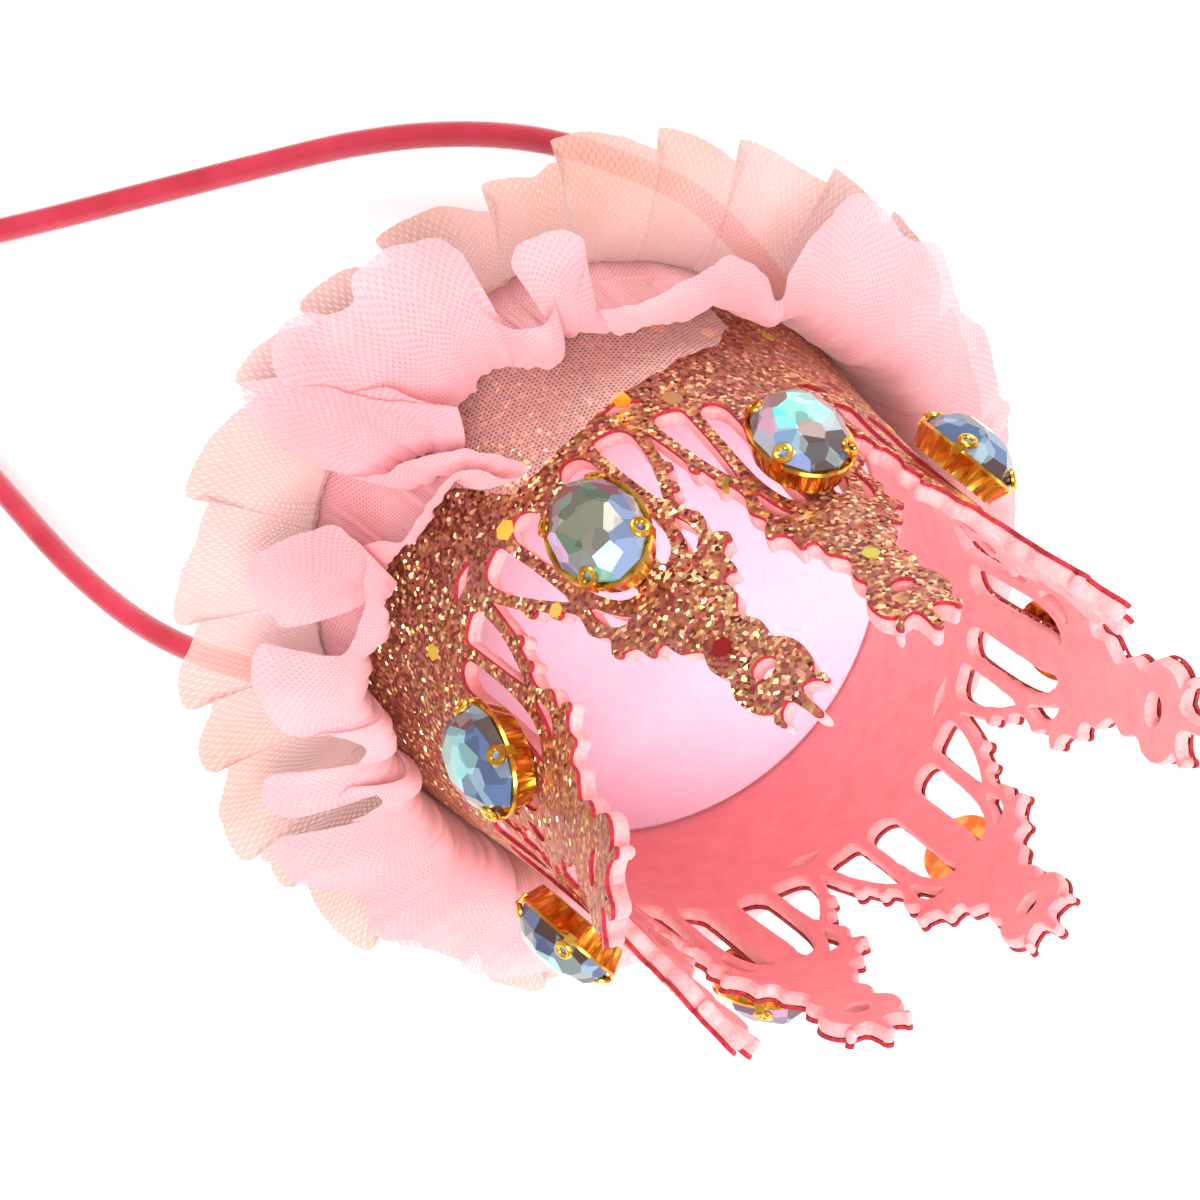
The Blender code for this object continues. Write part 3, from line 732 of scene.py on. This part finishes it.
stone_look = Look(
    "coated_stone", Roughness=0.16, IOR=1.45, Metallic=0.25, Coat_Weight=0.4, Coat_IOR=1.4,
    Coat_Roughness=0.04,
)
facet = stone_look.node("ShaderNodeAttribute", {"attribute_name": "facet"})
# Pale blue-grey patches on some cells are painted glints, and near-black patches on others are
# painted dark reflections.
deep = stone_look.cells(1.9)
lit = stone_look.mix(
    stone_look.part(deep, 1).within(0.76, 0.82) * 0.35, facet, (0.45, 0.60, 0.62, 1.0)
)
facets_with_painted_reflections = stone_look.mix(
    stone_look.part(deep, 0).within(0.74, 0.8) * 0.4, lit, (0.04, 0.025, 0.03, 1.0)
)
stone_look.feed(Base_Color=facets_with_painted_reflections)

for point, hues in enumerate(STONE_HUES):
    stone = cut_stone(point + STONE_SEED, hues)
    stone.transform(stone_frame(point))
    name = f"stone_{point + 1}"
    make_piece(f"cut_{name}", stone, (stone_look.material,), [name], smooth=False)

# Claw settings
# Each stone sits in a cup of stamped gold-coloured metal, whose wall is dented between its
# ribs. Four rolled claws rise from the rim and curl over the stone's edge.

SETTING_BASE, SETTING_RIM, SETTING_REACH, SETTING_WALL = 0.65, 3.2, 0.34, 0.26
CUP_SIDES, CUP_RIBS, CUP_DRAFT, RIB_DEPTH = 96, 16, 0.8, 0.26
CLAW_ANGLES = (42, 138, 222, 318)
CLAW_RADIUS, CLAW_WIRE, CLAW_LIFT, CLAW_TILT = 0.74, 0.32, 0.95, math.radians(50)
CLAW_INSET, STRAP_SIZE, WIRE_SIDES, ROLL_STEPS = 0.25, (1.0, 0.26, 1.5), 10, 20


def cup():
    """Rings from the cup's base up its ribbed outside, over the rim and down to its floor."""
    bm = bmesh.new()
    rows = (
        (SETTING_BASE, -CUP_DRAFT, 0.0),
        (SETTING_BASE + 0.35, -CUP_DRAFT * 0.8, 1.0),
        (SETTING_RIM - 0.7, -CUP_DRAFT * 0.1, 1.0),
        (SETTING_RIM - 0.3, 0.12, 0.2),
        (SETTING_RIM, 0.0, 0.0),
        (SETTING_RIM, -SETTING_WALL, 0.0),
        (SETTING_BASE + 0.5, -CUP_DRAFT - SETTING_WALL, 0.0),
    )
    rings = []
    for height, grow, ribs in rows:
        made = bmesh.ops.create_circle(bm, segments=CUP_SIDES, radius=1.0)["verts"]
        for vert in made:
            angle = math.atan2(vert.co.y, vert.co.x)
            dent = RIB_DEPTH * ribs * (0.5 - 0.5 * math.cos(CUP_RIBS * angle)) ** 2
            reach = SETTING_REACH + grow - dent
            vert.co = (
                (STONE_WIDTH / 2 + reach) * math.cos(angle),
                (STONE_LENGTH / 2 + reach) * math.sin(angle),
                height,
            )
        rings.append([edge for edge in bm.edges if all(v in made for v in edge.verts)])
    for lower, upper in zip(rings, rings[1:]):
        bmesh.ops.bridge_loops(bm, edges=lower + upper)
    bmesh.ops.contextual_create(bm, geom=rings[0])
    bmesh.ops.contextual_create(bm, geom=rings[-1])
    return bm


def add_claw(bm, degrees):
    """A rolled loop of strip that leans in over the stone's edge, on a short strap."""
    angle = math.radians(degrees)
    across, up = STONE_WIDTH / 2 * math.cos(angle), STONE_LENGTH / 2 * math.sin(angle)
    edge = Vector((across, up, SETTING_RIM))
    outward = Vector((edge.x / STONE_WIDTH**2, edge.y / STONE_LENGTH**2, 0)).normalized()
    side = Vector((-outward.y, outward.x, 0))
    lean = outward * math.cos(CLAW_TILT) + Vector((0, 0, math.sin(CLAW_TILT)))
    axes = Matrix((side, lean.cross(side), lean)).transposed().to_4x4()
    place = Matrix.Translation(edge + Vector((0, 0, CLAW_LIFT)) - outward * CLAW_INSET) @ axes
    wire = place @ Matrix.Translation((CLAW_RADIUS, 0, 0)) @ Matrix.Rotation(math.pi / 2, 4, "X")
    start = bmesh.ops.create_circle(
        bm, segments=WIRE_SIDES, radius=CLAW_WIRE, matrix=wire
    )["verts"]
    ring_edges = [e for e in bm.edges if all(v in start for v in e.verts)]
    bmesh.ops.spin(
        bm, geom=start + ring_edges, cent=place.translation, axis=lean, angle=math.tau,
        steps=ROLL_STEPS, use_merge=True,
    )
    strap = bmesh.ops.create_cube(bm, size=1.0)["verts"]
    bmesh.ops.scale(bm, vec=STRAP_SIZE, verts=strap)
    upright = Matrix((side, outward, Vector((0, 0, 1)))).transposed().to_4x4()
    low = Matrix.Translation(edge + outward * SETTING_REACH)
    bmesh.ops.transform(bm, matrix=low @ upright, verts=strap)


gold = Look("gold_setting", Roughness=0.2, Metallic=1.0)
gold.feed(
    Base_Color=gold.ramp(
        gold.noise(2.6, 2.0), (0.4, (0.62, 0.22, 0.02)), (0.62, (0.93, 0.56, 0.09))
    ),
    Normal=gold.bump(gold.noise(1.4, 1.0), 0.07, 0.5),
)
for point in range(POINTS):
    setting = cup()
    for degrees in CLAW_ANGLES:
        add_claw(setting, degrees)
    bmesh.ops.remove_doubles(setting, verts=setting.verts, dist=WELD)
    bmesh.ops.recalc_face_normals(setting, faces=setting.faces)
    setting.transform(stone_frame(point))
    name = f"setting_{point + 1}"
    piece = make_piece(f"claw_{name}", setting, (gold.material,), [name])
    piece.data.set_sharp_from_angle(angle=math.radians(35))

# Tulle tiers
# Two strips of soft net, gathered tightly round the crown's foot. The outer one flares in broad
# soft pleats. The inner one climbs the wall, rolls over and falls in uneven loops.

# Stops along the inner strip's hem, on the side that shows: degrees round the crown, the
# distance from its axis and the height. Where the degrees run back, the cloth folds over itself.
FAN_AND_LEAF = (
    (320, 47.0, 10), (327, 45.0, 12), (334, 47.8, 10), (341, 45.6, 13), (348, 48.4, 11),
    (355, 46.4, 13), (362, 49.6, 11), (369, 47.6, 13), (376, 49.4, 12), (382, 46.4, 14),
    (386, 41.0, 16), (389, 36.5, 18), (391, 38.4, 17), (397, 40.2, 18), (403, 39.4, 19),
    (410, 37.6, 20), (417, 37.4, 21), (423, 38.8, 21),
)
CURL_AND_LOBE = (
    (425.5, 41.5, 22), (424, 44.2, 23), (422.5, 46.8, 23), (425, 48.8, 22), (429.5, 48.4, 21),
    (431, 46.0, 20), (429.5, 43.6, 20), (428.5, 41.8, 21), (431, 40.6, 22), (435, 41.2, 21),
    (437, 42.8, 19), (436, 45.4, 17), (434.5, 48.4, 16), (436, 51.2, 15), (440, 52.6, 14),
    (444.5, 52.8, 13), (447, 51.2, 14), (449.5, 51.8, 13), (451.5, 53.8, 12), (456, 54.0, 11),
    (458.5, 51.6, 12), (456, 48.4, 14), (453.5, 44.4, 17), (450.5, 41.2, 20), (447.5, 39.6, 22),
)
HANGING_LOOPS = (
    (450, 42.6, 19), (454.5, 46.2, 15), (458.5, 50.6, 11), (461, 53.6, 9), (464.5, 52.0, 9),
    (465.5, 47.6, 11), (465, 43.0, 14), (462, 40.2, 18), (456, 39.4, 21), (450, 36.4, 24),
    (447.5, 32.6, 27), (450, 33.4, 27), (454, 36.0, 25), (459, 37.0, 24), (464, 36.4, 22),
    (469.5, 36.0, 20), (472.5, 37.8, 17), (478, 39.2, 14), (484.5, 39.6, 13), (488.5, 42.2, 12),
    (486, 45.4, 11), (481, 47.0, 11), (475.5, 45.4, 13), (471.5, 42.0, 16), (473.5, 38.6, 18),
    (479, 37.0, 18), (486, 36.8, 17),
)
LOWER_ROLLS = (
    (492, 38.6, 16), (491.5, 42.4, 13), (491, 45.0, 11), (495, 46.2, 11), (500, 45.4, 11),
    (505, 43.4, 12), (504, 39.6, 16), (508, 37.4, 17), (511.5, 42.0, 13), (510, 46.6, 11),
    (514, 48.4, 10), (517, 45.8, 12), (516.5, 42.4, 14), (514, 39.4, 16), (518, 37.6, 17),
    (521.5, 42.6, 13), (520, 46.4, 11), (520.5, 49.4, 9), (525, 50.2, 9), (530, 48.8, 9),
    (535, 46.4, 11), (541, 49.2, 9), (547, 47.6, 10), (552, 46.0, 11), (558, 48.8, 9),
    (565, 48.4, 9), (571, 46.2, 10), (577, 48.6, 9),
)
BACK_WAVES = tuple((586 + 9 * i, 45.8 + 2.2 * (i % 2), 10.5 - 1.5 * (i % 2)) for i in range(10))
INNER_HEM = FAN_AND_LEAF + CURL_AND_LOBE + HANGING_LOOPS + LOWER_ROLLS + BACK_WAVES
# Crests of the outer tier's pleats: degrees round the crown and the distance from its axis
OUTER_CRESTS = (
    (5, 50.6), (16, 50.8), (30, 50.4), (41, 50.6), (55, 51.2), (65, 49.6), (79, 50.8),
    (90, 51.4), (101, 52.6), (115, 53.0), (130, 52.2), (141, 52.0), (150, 52.0), (163, 53.4),
    (170, 51.8), (185, 52.4), (199, 50.2), (211, 52.8), (224, 51.5), (238, 52.0), (251, 51.2),
    (264, 52.0), (277, 51.4), (290, 52.0), (303, 51.2), (316, 50.2), (330, 49.0), (348, 48.6),
)
PLEAT_DEPTH, OUTER_UP = 2.2, 3.6
CLOTH_CLEARANCE, SHOULDER_CLEARANCE, TABLE_CLEARANCE = 0.15, 0.5, 0.25
SHOULDER_START, ROOT_TUCK = 0.55, 0.06
CREASE_RISE, CREASE_FADE, SWELL_START, SWELL_RUN = 1.4, 8.0, 0.1, 0.72
FINE_SHARE, FINE_SCALE, FINE_SEED = 0.36, 3.1, 9.0
# The roots' turns are averaged over this part of the ring each way
ROOT_SPREAD = 1 / 24
NET_HOLE = 0.46
Tier = namedtuple("Tier", "name hem root_up shoulder_up columns rows crease_wide crease_deep")
floor_up = CROWN_PLACE.inverted().to_3x3() @ Vector((0, 0, MM))


def pleated_hem(crests):
    """Hem stops for soft pleats. Each turns in a little before the next one starts."""
    stops = []
    for i, (turn, reach) in enumerate(crests):
        before = crests[i - 1][0] - (0 if i else 360)
        wide = turn - before
        stops += [
            (turn - wide * 0.60, reach - PLEAT_DEPTH * 0.6, OUTER_UP + 0.9),
            (turn - wide * 0.30, reach - 0.4, OUTER_UP - 0.2),
            (turn + 0.3, reach, OUTER_UP),
            (turn + 1.0, reach - 1.0, OUTER_UP + 0.8),
            (turn + 0.4, reach - PLEAT_DEPTH, OUTER_UP + 1.4),
            (turn + 1.8, reach - PLEAT_DEPTH, OUTER_UP + 1.2),
        ]
    return stops


def cubic(a, b, c, d, t):
    """The place a share t of the way from b to c, on a smooth curve through all four."""
    return (
        b
        + (c - a) * (t / 2)
        + (a - 2.5 * b + 2 * c - 0.5 * d) * t**2
        + (-0.5 * a + 1.5 * b - 1.5 * c + 0.5 * d) * t**3
    )


def closed_curve(stops, count):
    """Evenly counted places on a smooth closed line through the stops, a turn apart at its ends."""
    turn = Vector((360, 0, 0))
    stops = [Vector(stop) for stop in stops]
    ends = [stops[-1] - turn, *stops, stops[0] + turn, stops[1] + turn]
    places = []
    for i in range(count + 1):
        at = i / count * len(stops)
        piece = min(int(at), len(stops) - 1)
        places.append(cubic(*ends[piece:piece + 4], at - piece))
    return places


def round_place(turn, reach, up):
    angle = math.radians(turn)
    return Vector((reach * math.cos(angle), reach * math.sin(angle), up))


def off_wall(place):
    """Cloth stays outside the crown's wall and above the table."""
    angle = math.atan2(place.y, place.x)
    point = round((math.pi / 2 - angle) / PITCH)
    across = (math.pi / 2 - angle - point * PITCH) * FOOT_RADIUS
    wall = wall_place(point, across, place.z).xy.length + CLOTH_CLEARANCE
    if place.xy.length < wall:
        place = Vector((*(place.xy.normalized() * wall), place.z))
    depth = (CROWN_PLACE @ place).z / MM - TABLE_CLEARANCE
    return place - floor_up * depth if depth < 0 else place


def strip(tier):
    """A tube of net from a circle, its rings drawn out into the tier's folds."""
    bm = bmesh.new()
    verts = bmesh.ops.create_circle(bm, segments=tier.columns, radius=1.0)["verts"]
    edges, rings = bm.edges[:], [verts]
    for _ in range(tier.rows):
        made = bmesh.ops.extrude_edge_only(bm, edges=edges)["geom"]
        edges = of_kind(made, BMEdge)
        rings.append(of_kind(made, BMVert))
    hem = closed_curve(tier.hem, tier.columns)
    reach = int(tier.columns * ROOT_SPREAD)
    turns = [stop.x for stop in hem[:-1]]
    turns = [turn - 360 for turn in turns] + turns + [turn + 360 for turn in turns]
    roots = []
    for i in range(tier.columns + 1):
        at = i + tier.columns
        turn = sum(turns[at - reach:at + reach + 1]) / (2 * reach + 1)
        roots.append((turn, wall_radius(math.radians(turn), tier.root_up) - ROOT_TUCK))
    tips = [round_place(*stop) for stop in hem]
    hem_run = [0.0]
    for a, b in zip(tips, tips[1:]):
        hem_run.append(hem_run[-1] + (b - a).length)
    lines = []
    for i, ((root_turn, root_reach), tip) in enumerate(zip(roots, tips)):
        root = round_place(root_turn, root_reach, tier.root_up)
        root_angle = math.radians(root_turn)
        climb, shoulder = (
            round_place(root_turn, wall_radius(root_angle, up) + SHOULDER_CLEARANCE, up)
            for up in (tier.shoulder_up * SHOULDER_START, tier.shoulder_up)
        )
        aside = (tips[(i + 1) % tier.columns] - tip).cross(Vector((0, 0, 1))).normalized()
        along = hem_run[i] / tier.crease_wide
        fade = min(1.0, hem_run[i] / CREASE_FADE, (hem_run[-1] - hem_run[i]) / CREASE_FADE)
        line = [root]
        for row in range(1, tier.rows + 1):
            share = row / tier.rows
            near = root.lerp(climb, share).lerp(climb.lerp(shoulder, share), share)
            far = climb.lerp(shoulder, share).lerp(shoulder.lerp(tip, share), share)
            place = near.lerp(far, share)
            crease = noise.noise(Vector((along, share * CREASE_RISE, tier.root_up)))
            fine = Vector((along * FINE_SCALE, share * CREASE_RISE, FINE_SEED))
            crease += FINE_SHARE * noise.noise(fine)
            swell = math.sin(math.pi * (SWELL_START + SWELL_RUN * share))
            line.append(off_wall(place + aside * crease * swell * fade * tier.crease_deep))
        lines.append(line)
    depth = sum((b - a).length for line in lines for a, b in zip(line, line[1:])) / len(lines)
    run = [0.0]
    for a, b in zip(lines, lines[1:]):
        run.append(run[-1] + (b[-1] - a[-1]).length)
    cloth = bm.loops.layers.uv.new("cloth")
    column_of, row_of = {}, {}
    for row, ring in enumerate(rings):
        for vert in ring:
            turn = math.atan2(vert.co.y, vert.co.x) / math.tau
            column_of[vert] = round(turn * tier.columns) % tier.columns
            row_of[vert] = row
    for face in bm.faces:
        columns = [column_of[loop.vert] for loop in face.loops]
        wraps = max(columns) - min(columns) > 1
        for loop in face.loops:
            column = column_of[loop.vert] or (tier.columns if wraps else 0)
            loop[cloth].uv = (run[column], row_of[loop.vert] / tier.rows * depth)
    for vert in bm.verts:
        vert.co = lines[column_of[vert]][row_of[vert]]
    bmesh.ops.recalc_face_normals(bm, faces=bm.faces)
    area = sum(face.calc_area() for face in bm.faces)
    return bm, depth, area / depth


def net_look(name, light, deep, cover, thread):
    """A net of threads round six-sided holes, drawn on the cloth's own flat coordinates. Its
    alpha goes from the cover in a hole's middle to the thread."""
    look = Look(name, Roughness=0.85, Sheen_Weight=0.4, Sheen_Roughness=0.6)
    flat = look.node("ShaderNodeUVMap", {"uv_map": "cloth"})
    x, y = look.part(flat, 0), look.part(flat, 1)
    turns = math.tau / NET_HOLE
    waves = [(x * (turns * math.cos(a)) + y * (turns * math.sin(a))).math("COSINE")
             for a in (0.0, math.tau / 3, 2 * math.tau / 3)]
    threads = 1 - (waves[0] + waves[1] + waves[2]).within(-0.3, 1.5)
    # Broad blotches mix the deep and light colours: painted shade, standing in for the darker
    # folds.
    painted_shade_blotches = look.noise(18.0, 2.0)
    look.feed(
        Base_Color=look.ramp(painted_shade_blotches, (0.35, deep), (0.65, light)),
        Alpha=threads * (thread - cover) + cover,
        Normal=look.bump(threads, 0.06, 0.5),
    )
    return look.material


TIERS = (
    Tier("tulle_outer_tier", pleated_hem(OUTER_CRESTS), 0.1, 3.4, 2400, 10, 7.0, 1.0),
    Tier("tulle_inner_tier", INNER_HEM, -0.2, 22.0, 4400, 18, 5.5, 1.6),
)
# Each net's deep colour is its light colour in painted shade.
sheer_net = net_look("sheer_net", (0.69, 0.40, 0.38), (0.58, 0.30, 0.23), 0.70, 0.92)
pink_net = net_look("pink_net", (0.88, 0.38, 0.42), (0.82, 0.28, 0.31), 0.62, 0.94)
for tier, look, slot in zip(TIERS, (sheer_net, pink_net), ("sheer_tulle", "pink_tulle")):
    net, depth, length = strip(tier)
    piece = make_piece(f"net_{tier.name}", net, (look,), [tier.name])
    flat = (depth * MM, length * MM)

# Loose net
# A corner of the inner tier's net hangs over the crown's wall between the first two points, and
# lies on the glitter, which shows through it.

DRAPE_FIRST, DRAPE_LAST, DRAPE_TOP = 100.0, 36.0, 5.0
DRAPE_HEMS = (18.0, 26.0, 26.6, 26.0, 25.3, 24.4, 23.0, 21.4, 20.0, 16.0)
DRAPE_OFF, DRAPE_SWELL = 0.45, 0.7
BROAD_FOLDS, BROAD_SLANT, FINE_FOLDS, FINE_SLANT, FINE_HEIGHT = 11, 2.0, 23, 4, 0.6
FOLD_LEVEL, FOLD_HEIGHT = 0.7, 0.4
DRAPE_ACROSS, DRAPE_UP = 64, 32
DRAPE_LONG = math.radians(DRAPE_FIRST - DRAPE_LAST) * FOOT_RADIUS


def hem_height(share):
    place = share * (len(DRAPE_HEMS) - 1)
    index = min(int(place), len(DRAPE_HEMS) - 2)
    ease = smooth_step(place - index)
    return DRAPE_HEMS[index] * (1 - ease) + DRAPE_HEMS[index + 1] * ease


def drape_place(share, rise):
    degrees = DRAPE_FIRST + (DRAPE_LAST - DRAPE_FIRST) * share
    across = math.radians(90 - degrees) * FOOT_RADIUS
    up = DRAPE_TOP + (hem_height(share) - DRAPE_TOP) * rise
    fold = math.sin(share * BROAD_FOLDS + rise * BROAD_SLANT)
    fold += FINE_HEIGHT * math.sin(share * FINE_FOLDS - rise * FINE_SLANT)
    swell = DRAPE_SWELL * math.sin(math.pi * share) * rise
    return wall_place(0, across, up, DRAPE_OFF + swell * (FOLD_LEVEL + FOLD_HEIGHT * fold))


drape = bmesh.new()
bmesh.ops.create_grid(drape, x_segments=DRAPE_ACROSS, y_segments=DRAPE_UP, size=0.5)
cloth = drape.loops.layers.uv.new("cloth")
for face in drape.faces:
    for loop in face.loops:
        share, rise = loop.vert.co.x + 0.5, loop.vert.co.y + 0.5
        loop[cloth].uv = (share * DRAPE_LONG, rise * (hem_height(share) - DRAPE_TOP))
for vert in drape.verts:
    vert.co = drape_place(vert.co.x + 0.5, vert.co.y + 0.5)
bmesh.ops.recalc_face_normals(drape, faces=drape.faces)
drape_area = sum(face.calc_area() for face in drape.faces)
# The veil's deep colour is its light colour in painted shade.
veil = net_look("veil_net", (0.86, 0.48, 0.44), (0.78, 0.38, 0.35), 0.16, 0.52)
piece = make_piece("net_tulle_drape", drape, (veil,), ["tulle_drape"])
flat = (drape_area / DRAPE_LONG * MM, DRAPE_LONG * MM)

# Headband
# A springy arch wrapped in red satin ribbon. It passes under the felt floor, leaning back from
# the crown's axis, and its two arms draw together towards their ends.

BAND_LEAN = math.radians(28.6)
BAND_TOP = Vector((0.0, -24.7, -1.9))
BAND_THICKNESS, BAND_WIDTH, BAND_SIDES, BAND_PIECES = 3.4, 4.2, 20, 10
THREADS_ALONG, THREADS_ROUND = 2.0, 90.0
# Stops along the arch in its own plane: across it, and down from its top
BAND_ROUTE = (
    (-46.5, 150.0), (-48.0, 130.0), (-49.1, 109.0), (-49.6, 88.0), (-47.5, 70.5), (-41.5, 54.0),
    (-31.0, 33.0), (-17.0, 10.5), (-3.0, 0.8), (12.0, 0.4), (27.0, 8.0), (38.0, 24.0),
    (43.5, 46.0), (42.0, 61.5), (37.6, 76.0), (30.5, 89.0), (21.5, 100.5), (10.0, 112.0),
    (-2.5, 124.0), (-15.5, 136.5), (-29.0, 150.0),
)
band_across = Vector((1.0, 0.0, 0.0))
band_down = Vector((0.0, math.sin(BAND_LEAN), -math.cos(BAND_LEAN)))
band_normal = Vector((0.0, math.cos(BAND_LEAN), math.sin(BAND_LEAN)))


def band_line():
    """A smooth line through the stops, each stretch a cubic between its neighbours."""
    stops = [Vector(row) for row in BAND_ROUTE]
    ends = [2 * stops[0] - stops[1], *stops, 2 * stops[-1] - stops[-2]]
    line = []
    for a, b, c, d in zip(ends, ends[1:], ends[2:], ends[3:]):
        for i in range(BAND_PIECES):
            line.append(cubic(a, b, c, d, i / BAND_PIECES))
    return [*line, stops[-1]]


band = bmesh.new()
line = band_line()
rings = []
band_uv = band.loops.layers.uv.new("wrap")
along, run_of, round_of = 0.0, {}, {}
for i, stop in enumerate(line):
    run = line[min(i + 1, len(line) - 1)] - line[max(i - 1, 0)]
    along += (stop - line[i - 1]).length if i else 0.0
    side = (band_across * -run.y + band_down * run.x).normalized()
    centre = BAND_TOP + band_across * stop.x + band_down * stop.y
    ring = bmesh.ops.create_circle(band, segments=BAND_SIDES, radius=1.0)["verts"]
    for vert in ring:
        angle = math.atan2(vert.co.y, vert.co.x)
        run_of[vert], round_of[vert] = along, angle / math.tau % 1.0
        vert.co = (
            centre
            + side * BAND_THICKNESS / 2 * math.cos(angle)
            + band_normal * BAND_WIDTH / 2 * math.sin(angle)
        )
    rings.append({edge for vert in ring for edge in vert.link_edges})
for lower, upper in zip(rings, rings[1:]):
    bmesh.ops.bridge_loops(band, edges=list(lower | upper))
for end in (rings[0], rings[-1]):
    bmesh.ops.contextual_create(band, geom=list(end))
bmesh.ops.recalc_face_normals(band, faces=band.faces)
for face in band.faces:
    rounds = [round_of[loop.vert] for loop in face.loops]
    wraps = max(rounds) - min(rounds) > 0.5
    for loop in face.loops:
        share = round_of[loop.vert] + (1.0 if wraps and round_of[loop.vert] < 0.5 else 0.0)
        loop[band_uv].uv = (run_of[loop.vert], share)

satin = Look("red_satin", Roughness=0.38, Sheen_Weight=0.4, Sheen_Roughness=0.35)
flat = satin.node("ShaderNodeUVMap", {"uv_map": "wrap"})
run, share = satin.part(flat, 0), satin.part(flat, 1)
threads = (run * THREADS_ALONG + share * THREADS_ROUND).math("SINE")
satin.feed(
    Base_Color=satin.ramp(
        satin.noise(9.0), (0.3, (0.42, 0.014, 0.030)), (0.7, (0.57, 0.030, 0.066))
    ),
    Normal=satin.bump(threads, 0.02, 0.4),
)
make_piece("satin_headband", band, (satin.material,), ["headband"])

# Table and light
# A pale, even table with a broad soft light above and a weaker one from the side, as in a
# product photograph. Lengths in this section are metres.

TABLE_SIZE, WORLD_STRENGTH = 3.0, 0.62
table = bmesh.new()
bmesh.ops.create_grid(table, x_segments=1, y_segments=1, size=TABLE_SIZE / 2)
table_mesh = bpy.data.meshes.new("table")
table.to_mesh(table_mesh)
table.free()
table_look = Look("pale_table", Base_Color=(0.93, 0.92, 0.92, 1.0), Roughness=0.9)
table_mesh.materials.append(table_look.material)
add_object("table", table_mesh)

Lamp = namedtuple("Lamp", "name place size power")
LAMPS = (
    Lamp("key_light", (-0.15, -0.42, 0.62), 0.45, 7.0),
    Lamp("side_light", (0.55, 0.25, 0.50), 0.35, 3.0),
)
for lamp in LAMPS:
    data = bpy.data.lights.new(lamp.name, "AREA")
    data.size, data.energy = lamp.size, lamp.power
    light = add_object(lamp.name, data)
    light.location = lamp.place
    light.rotation_euler = (-Vector(lamp.place)).to_track_quat("-Z", "Y").to_euler()
bpy.context.scene.view_settings.view_transform = "Standard"
world = bpy.data.worlds.new("studio")
world.use_nodes = True
background = world.node_tree.nodes["Background"]
background.inputs["Color"].default_value = (1.0, 0.99, 0.98, 1.0)
background.inputs["Strength"].default_value = WORLD_STRENGTH
bpy.context.scene.world = world
